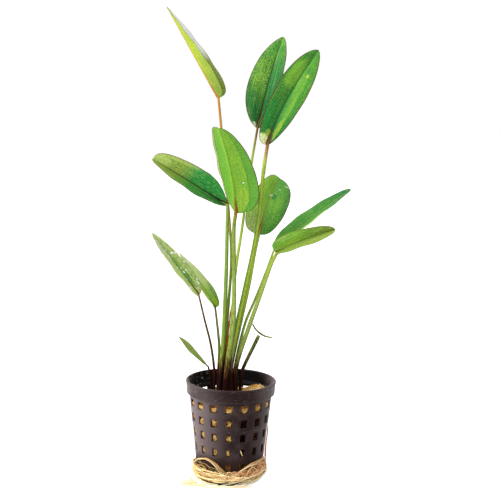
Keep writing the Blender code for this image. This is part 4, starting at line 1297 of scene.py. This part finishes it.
def make_sheath():
    """A dried strip of old leaf sheath, folded lengthwise, red low down and amber at its tip."""
    route = smooth_route(DRIED_SHEATH["via"], 12)
    share = shares(route)
    radii = taper(DRIED_SHEATH["thick"], share)
    radii = radii * np.clip((1 - share) * 9, 0.15, 1) * (1 + 0.12 * np.sin(share * 31))
    shell = tube(route, radii, 16, lambda angles: 0.8 + 0.2 * np.cos(2 * angles))
    paint = Paint("dried_sheath", Specular_IOR_Level=0.05)
    at = paint.attribute("strand").split()[0]
    streak = paint.place().stretch(1.0, 1.0, 0.1).noise(2.6, 3.0, 0.6)
    colour = (at + (streak - 0.5) * 0.2).ramp(stops(DRIED_SHEATH["tones"]))
    colour = mix(streak.smooth(0.5, 0.3) * 0.6, colour, tint("wine"))
    shell.piece("old_sheath", paint.finish(colour, 0.75, streak.bump(0.25)), "dried", "dried_sheath")


# Root mat round and under the pot's foot, and the loose roots.
MAT_X = -1.2
MAT_RADIUS = 22.6
MAT_LEVELS = (0.0, 1.8, 4.6, 9.0, 16.0)
MAT_REACH = (22.0, 22.7, 23.3, 22.8, 22.5)
MAT_RISE = 10.4
MAT_DIP = 1.0
MAT_LUMPS = 0.5
SHOULDER_DEG = 52.0
SHOULDER_SPREAD_DEG = 20.0
SHOULDER_HEIGHT = 6.2
# The felted part: each level's share of its height, and its depth as hug() takes it.
FELT_LEVELS = ((0.0, 0.4), (0.1, 0.5), (0.25, 0.72), (0.4, 0.86), (0.55, 0.86), (0.7, 0.78), (0.82, 0.66),
               (0.92, 0.45), (1.0, 0.1))
# The least gap that a root keeps to the floor.
LIFT = 0.03
ROOT_STRANDS = {
    "root_strand_back": dict(via=((-22.7, -11.6, 0.9), (-26, -13, 0.8), (-31, -13.6, 0.8)),
                             thick=(1.5, 1.1)),
    "root_strand_middle": dict(via=((-20.6, -15.6, 0.9), (-25, -17, 0.8), (-31, -18.6, 0.8)),
                               thick=(1.6, 1.1)),
    "root_strand_front": dict(via=((-15.0, -21.4, 0.9), (-20, -20.8, 0.8), (-28.5, -21.4, 0.8)),
                              thick=(1.6, 1.1)),
    "root_strand_climbing": dict(via=((21.4, -3.4, 13.0), (21.6, -4.2, 20), (22.6, -3.4, 27),
                                      (23.1, -3, 33)), thick=(1.5, 1.0)),
}
ROOTS_PER_STRAND = 6
# How far the roots of the climbing strand are drawn in to the pot's wall.
CLIMBING_SHIFT = 0.45
ROOT_POINTS = 30
WRAPPED_ROOTS = (
    dict(count=60, thick=(0.1, 0.22), sweeps=(0.5, 1.6), heights=(0.3, 0.95), depths=(0.6, 0.95),
         tones=(0.15, 1.0)),
    dict(count=32, thick=(0.14, 0.3), sweeps=(0.6, 2.0), heights=(0.32, 0.55), depths=(0.8, 1.0),
         tones=(0.5, 1.0)),
)
FELT_ROOTS = 1100
# Bundles of roots that the photograph shows one by one: how many roots, how thick and how pale they are,
# how far they spread, and their run in degrees round from the front and height.
SHOWN_ROOTS = (
    (2, 0.28, 0.75, 0.25, ((-86, 4), (-76, 8), (-63, 13.4), (-44, 15.9), (-34, 16.2), (-21, 14),
                           (-13, 11.2), (-7, 8.9), (2, 5.8))),
    (2, 0.18, 0.75, 0.8, ((-80, 8), (-66, 12.2), (-46, 14.9), (-32, 14.6), (-20, 12.4), (-11, 9.6), (-4, 7))),
    (3, 0.22, 0.85, 0.6, ((-4, 4), (4, 5.4), (10, 7.4), (21, 10.4), (34, 12.7), (46, 13.4), (62, 13.9),
                          (75, 13.2), (90, 9))),
    (3, 0.18, 0.7, 1.0, ((22, 9), (34, 11.6), (48, 12.6), (64, 11.6), (80, 8))),
    (4, 0.28, 0.72, 0.6, ((-95, 7), (-80, 8.6), (-66, 8.9), (-47, 8.7), (-37, 8.4), (-19, 7.8), (-6, 6.9),
                          (10, 5.2))),
    (5, 0.32, 0.9, 0.7, ((-98, 4), (-85, 5.2), (-55, 6.8), (-38, 6.6), (-22, 6), (-8, 5.2), (13, 4.4),
                         (35, 4.6), (60, 6))),
    (4, 0.3, 0.66, 0.7, ((-90, 10), (-76, 8), (-64, 6.4), (-51, 5.4), (-36, 5), (-22, 4.4), (-10, 4),
                         (10, 4.2))),
    (5, 0.28, 0.92, 0.5, ((-60, 3.6), (-50, 3.4), (-26, 3.8), (-5, 4.1), (17, 4.2), (40, 4.4), (70, 6))),
    (3, 0.22, 0.95, 0.3, ((-100, 2.6), (-80, 1.4), (-52, 0.9), (-38, 0.6), (-28, 0.4), (-18, 0.3))),
    (6, 0.3, 0.95, 0.6, ((-95, 8), (-84, 6), (-72, 4), (-58, 2.4), (-42, 1.2), (-26, 0.5))),
    (4, 0.26, 0.95, 0.4, ((-104, 4), (-88, 2.8), (-70, 1.4), (-52, 0.7), (-36, 0.4))),
    (1, 0.3, 0.95, 0.1, ((-16, 0.5), (-4, 1.4), (8, 2.6), (22, 3.8))),
    (1, 0.3, 1.0, 0.1, ((4, 0.5), (14, 1.5), (24, 2.6), (36, 3.8))),
    (1, 0.3, 0.95, 0.1, ((18, 0.6), (27, 1.6), (36, 2.7), (48, 4))),
    (4, 0.28, 0.8, 0.4, ((14, 3.6), (25, 3.8), (33, 4.2), (42, 4.8), (54, 5.8), (64, 7.7), (69, 10.3),
                         (78, 12))),
    (6, 0.28, 0.92, 0.6, ((30, 0.6), (45, 1.5), (60, 2.8), (77, 5), (95, 8), (120, 9))),
    (4, 0.13, 0.6, 1.4, ((-70, 11), (-58, 10), (-44, 10.6), (-34, 9.6), (-22, 9.6), (-12, 8))),
    (5, 0.22, 0.75, 1.2, ((24, 5), (36, 10), (48, 7), (58, 11), (70, 8), (84, 11))),
)
# Roots that lie on the floor in front of the mat: how many, how pale, and their run across and back.
FLOOR_ROOTS = (
    (3, 0.95, ((-27, -15), (-21, -20), (-16, -22.6), (-9, -23.6), (0, -23.7), (8, -23.2), (12, -21.6))),
    (2, 0.85, ((-24, -19), (-17, -22.9), (-10, -23.4), (-2, -22.9), (4, -22.4), (10, -20.6))),
    (2, 0.9, ((-7, -22.4), (0, -23.2), (8, -23), (13, -20.4))),
    (4, 0.95, ((-26, -4), (-24.5, -12), (-20.5, -19), (-16.5, -23))),
)


def mat_height(angle):
    """The mat's top edge: lowest at the front, with a shoulder of root on each side of it."""
    away = (np.abs(half_turn(angle)) - radians(SHOULDER_DEG)) / radians(SHOULDER_SPREAD_DEG)
    return MAT_RISE - MAT_DIP * np.cos(angle) + MAT_LUMPS * np.sin(5 * angle + 0.6) + (
        SHOULDER_HEIGHT * np.exp(-away * away))


def core_height(angle):
    """The felted part's top edge: higher on the right, and open over the left front."""
    turn = np.degrees(half_turn(angle))
    rough = 0.35 * np.sin(7 * angle) + 0.25 * np.sin(17 * angle + 2)
    return 9.4 + 2.6 * hill(turn, 52, 28) - 1.6 * hill(turn, -36, 34) + rough


def hug(angle, z, depth, radius):
    """Places between the pot's wall, where depth is 0, and the mat's outer face, where it is 1."""
    z = np.maximum(z, radius + LIFT)
    inner = stand(around(angle, np.where(z < FOOT_Z, FOOT_RADIUS - 2.0, wall_radius(z)) + GAP + radius, z))
    outer = around(angle, np.interp(z, MAT_LEVELS, MAT_REACH) - radius, z, MAT_X)
    place = inner + (outer - inner) * np.asarray(depth)[..., None]
    place[..., 2] = np.maximum(place[..., 2], radius + LIFT)
    return place


def waves(rng, count, t):
    """Slow waves along count roots, each with its own start."""
    return np.sin(2 * pi * (t + rng.uniform(0, 1, (count, 1))))


def add_mat_core(shell, rng):
    """The felted heart of the roots: it fills under the pot and hugs its foot, near black as painted shade
    between the roots over it.
    """
    sides = 240
    angles = full_turn(sides)
    high = core_height(angles)
    lumps = rumple(rng, (len(FELT_LEVELS), sides), 0.2) - 0.12
    rings = []
    for (level, depth), row in zip(FELT_LEVELS, lumps):
        ring = hug(angles, high * level, np.clip(depth + row, 0.02, 1.0), 0.0)
        if level == 0:
            ring[:, 2] = 0.0
        rings.append(ring)
    rings.append(stand(around(angles, FOOT_RADIUS - 1.0, np.full(sides, FOOT_Z - GAP))))
    rings = np.stack(rings)
    quads, triangles = stack_faces(len(rings), sides)
    points = np.concatenate((rings.reshape(-1, 3), ((MAT_X, 0, 0), stand((0, 0, FOOT_Z - GAP)))))
    # Tone 0 makes the core near black: painted shade between the roots over it.
    shell.add(points, quads, triangles, strand=(0.5, 0.0, 0.0), looks=(0, 0, 1))


def add_wrapped_roots(shell, rng, count, thick, sweeps, heights, depths, tones):
    """Roots that wrap the pot's foot, each at its own height and depth, wavering as they go."""
    one = (count, 1)
    t = np.linspace(0, 1, ROOT_POINTS)
    start = rng.uniform(-pi, pi, one)
    sweep = rng.uniform(*sweeps, one) * rng.choice((-1, 1), one)
    angle = start + sweep * t
    first, last = rng.uniform(*heights, (2, count, 1))
    level = first + (last - first) * t
    beats = rng.uniform(0.6, 2.6, one)
    z = np.clip(level + 0.1 * waves(rng, count, t * beats), 0.32, 1.0) * (core_height(angle) + 0.3)
    radius = rng.uniform(*thick, one) * (0.7 + 0.3 * np.sin(pi * t))
    depth = rng.uniform(*depths, one) + 0.12 * waves(rng, count, t * 1.7)
    routes = hug(angle, z, np.clip(depth, 0.05, 1.0), radius)
    add_strands(shell, routes, radius, 5, rng.uniform(*tones, count))


def add_felt(shell, rng):
    """Short fine roots that lie every way on the felted part and over the open left front."""
    one = (FELT_ROOTS, 1)
    t = np.linspace(-0.5, 0.5, 7)
    angle = rng.uniform(-pi, pi, one)
    heading = rng.uniform(-pi, pi, one) + rng.normal(0, 1.6, one) * t
    length = rng.uniform(1.5, 6.0, one)
    over_pot = rng.uniform(0, 1, one) < 0.3
    high = np.where(over_pot, mat_height(angle) - 1.2, core_height(angle))
    z = rng.uniform(0.22, 1.0, one) * high + length * t * np.sin(heading)
    where = angle + length * t * np.cos(heading) / MAT_RADIUS
    radius = rng.uniform(0.08, 0.2, one) * np.where(over_pot, 0.6, 1.0) * np.ones(len(t))
    near, far = rng.uniform(0.0, 0.25, one), rng.uniform(0.75, 0.98, one)
    depth = np.where(z > core_height(where) - 0.8, near, far)
    routes = hug(where, np.clip(z, 2.6, mat_height(where) - 0.6), depth, radius)
    tones = rng.uniform(0.1, 0.95, FELT_ROOTS) * np.where(over_pot[:, 0], 0.7, 1.0)
    add_strands(shell, routes, radius, 3, tones)


def add_shown_roots(shell, rng):
    for count, thick, tone, spread, spots in SHOWN_ROOTS:
        one = (count, 1)
        path = smooth_route([(radians(deg), z, 0) for deg, z in spots], 6)
        t = np.linspace(0, 1, len(path))
        shift = rng.normal(0, spread, one) + spread * waves(rng, count, t * rng.uniform(0.4, 1.5, one))
        radius = thick * rng.uniform(0.6, 1.05, one) * (0.75 + 0.25 * np.sin(pi * t))
        depth = rng.uniform(0.72, 1.0, one) + 0.08 * waves(rng, count, t)
        routes = hug(path[:, 0] + 0.03 * shift, path[:, 1] + shift, np.clip(depth, 0.3, 1.0), radius)
        add_strands(shell, routes, radius, 6, np.clip(tone + rng.normal(0, 0.15, count), 0, 1))


def add_floor_roots(shell, rng):
    for count, tone, spots in FLOOR_ROOTS:
        path = smooth_route([(x, y, 0) for x, y in spots], 7)
        t = np.linspace(0, 1, len(path))
        for _ in range(count):
            radius = rng.uniform(0.18, 0.36) * (0.7 + 0.3 * np.sin(pi * t))
            offset = rng.normal(0, 0.8)
            beats, start = rng.uniform(0.5, 1.6), rng.uniform(0, 1)
            shift = offset + 0.6 * np.sin(2 * pi * (t * beats + start))
            inward = -unit(path - (MAT_X, 0, 0)) * np.abs(shift)[:, None]
            lift = rng.uniform(0.0, 0.4) * np.sin(pi * t) ** 2
            route = path + inward + np.stack((0 * t, 0 * t, radius + LIFT + lift), -1)
            add_strands(shell, route[None], radius[None], 6, [np.clip(tone + rng.normal(0, 0.16), 0, 1)])


def make_roots(rng):
    shell = Shell()
    add_mat_core(shell, rng)
    for kind in WRAPPED_ROOTS:
        add_wrapped_roots(shell, rng, **kind)
    add_felt(shell, rng)
    add_shown_roots(shell, rng)
    add_floor_roots(shell, rng)
    shell.piece("root_nest", root_finish(), "roots", "root_mat")


def make_trailing_roots(rng):
    """Each loose strand is a small bundle of roots within its solid, thinning to its end."""
    for key, strand in ROOT_STRANDS.items():
        climbs = key == "root_strand_climbing"
        route = smooth_route(strand["via"], 10)
        share = shares(route)
        limit = taper(strand["thick"], share)
        if climbs:
            route = route - (CLIMBING_SHIFT, 0, 0)
        along = unit(np.gradient(route, axis=0))
        side = unit(np.cross(along, (0.0, 0.0, 1.0)))
        up = np.cross(side, along)
        routes, radii = [], []
        for number in range(ROOTS_PER_STRAND):
            radius = limit * rng.uniform(0.4, 0.55)
            turn = 2 * pi * number / ROOTS_PER_STRAND + share * rng.uniform(-2.5, 2.5)
            off = (limit - radius) * rng.uniform(0.5, 0.95)
            routes.append(route + side * (off * np.cos(turn))[:, None] + up * (off * np.sin(turn))[:, None])
            radii.append(radius * np.clip((1.02 - share) * rng.uniform(3, 9), 0.25, 1))
        tones = rng.uniform(*((0.3, 0.5) if climbs else (0.75, 1.0)), ROOTS_PER_STRAND)
        shell = Shell()
        add_strands(shell, np.stack(routes), np.stack(radii), 7, tones)
        shell.piece("loose_" + key, root_finish(), "roots", key)


def root_finish():
    """Dry root: straw to tan, each root in its own tone, redder where it is matted on the right."""
    paint = Paint("roots", Specular_IOR_Level=0.1)
    tone = paint.attribute("strand").split()[2]
    place = paint.place()
    x, _, z = place.split()
    fine = place.noise(1.5, 4.0, 0.6)
    value = tone * 0.75 + fine * 0.35
    colour = value.ramp(((0.16, (0.02, 0.006, 0.003)), (0.36, (0.26, 0.1, 0.035)), (0.58, (0.7, 0.4, 0.13)),
                         (0.8, (0.93, 0.76, 0.38)), (1.0, (0.98, 0.94, 0.66))))
    matted = x.smooth(-5.0, 3.0) * z.smooth(1.5, 5.0) * tone.smooth(0.85, 0.6) * value.smooth(0.3, 0.45)
    colour = mix(matted * 0.6, colour, (0.85, 0.36, 0.18))
    return paint.finish(colour, 0.7, fine.bump(0.2))


def dress():
    rng = np.random.default_rng(SEED)
    set_stage()
    make_pot()
    make_wool(rng)
    make_crown(rng)
    for key, blade in BLADES.items():
        stalk = STALKS[key]
        make_stalk(key, stalk, blade)
        make_blade(key, blade, USUAL_LEAF | LEAF_LOOKS[key], stalk["thick"][1])
    make_stump()
    make_shred()
    make_sheath()
    make_roots(rng)
    make_trailing_roots(rng)


dress()
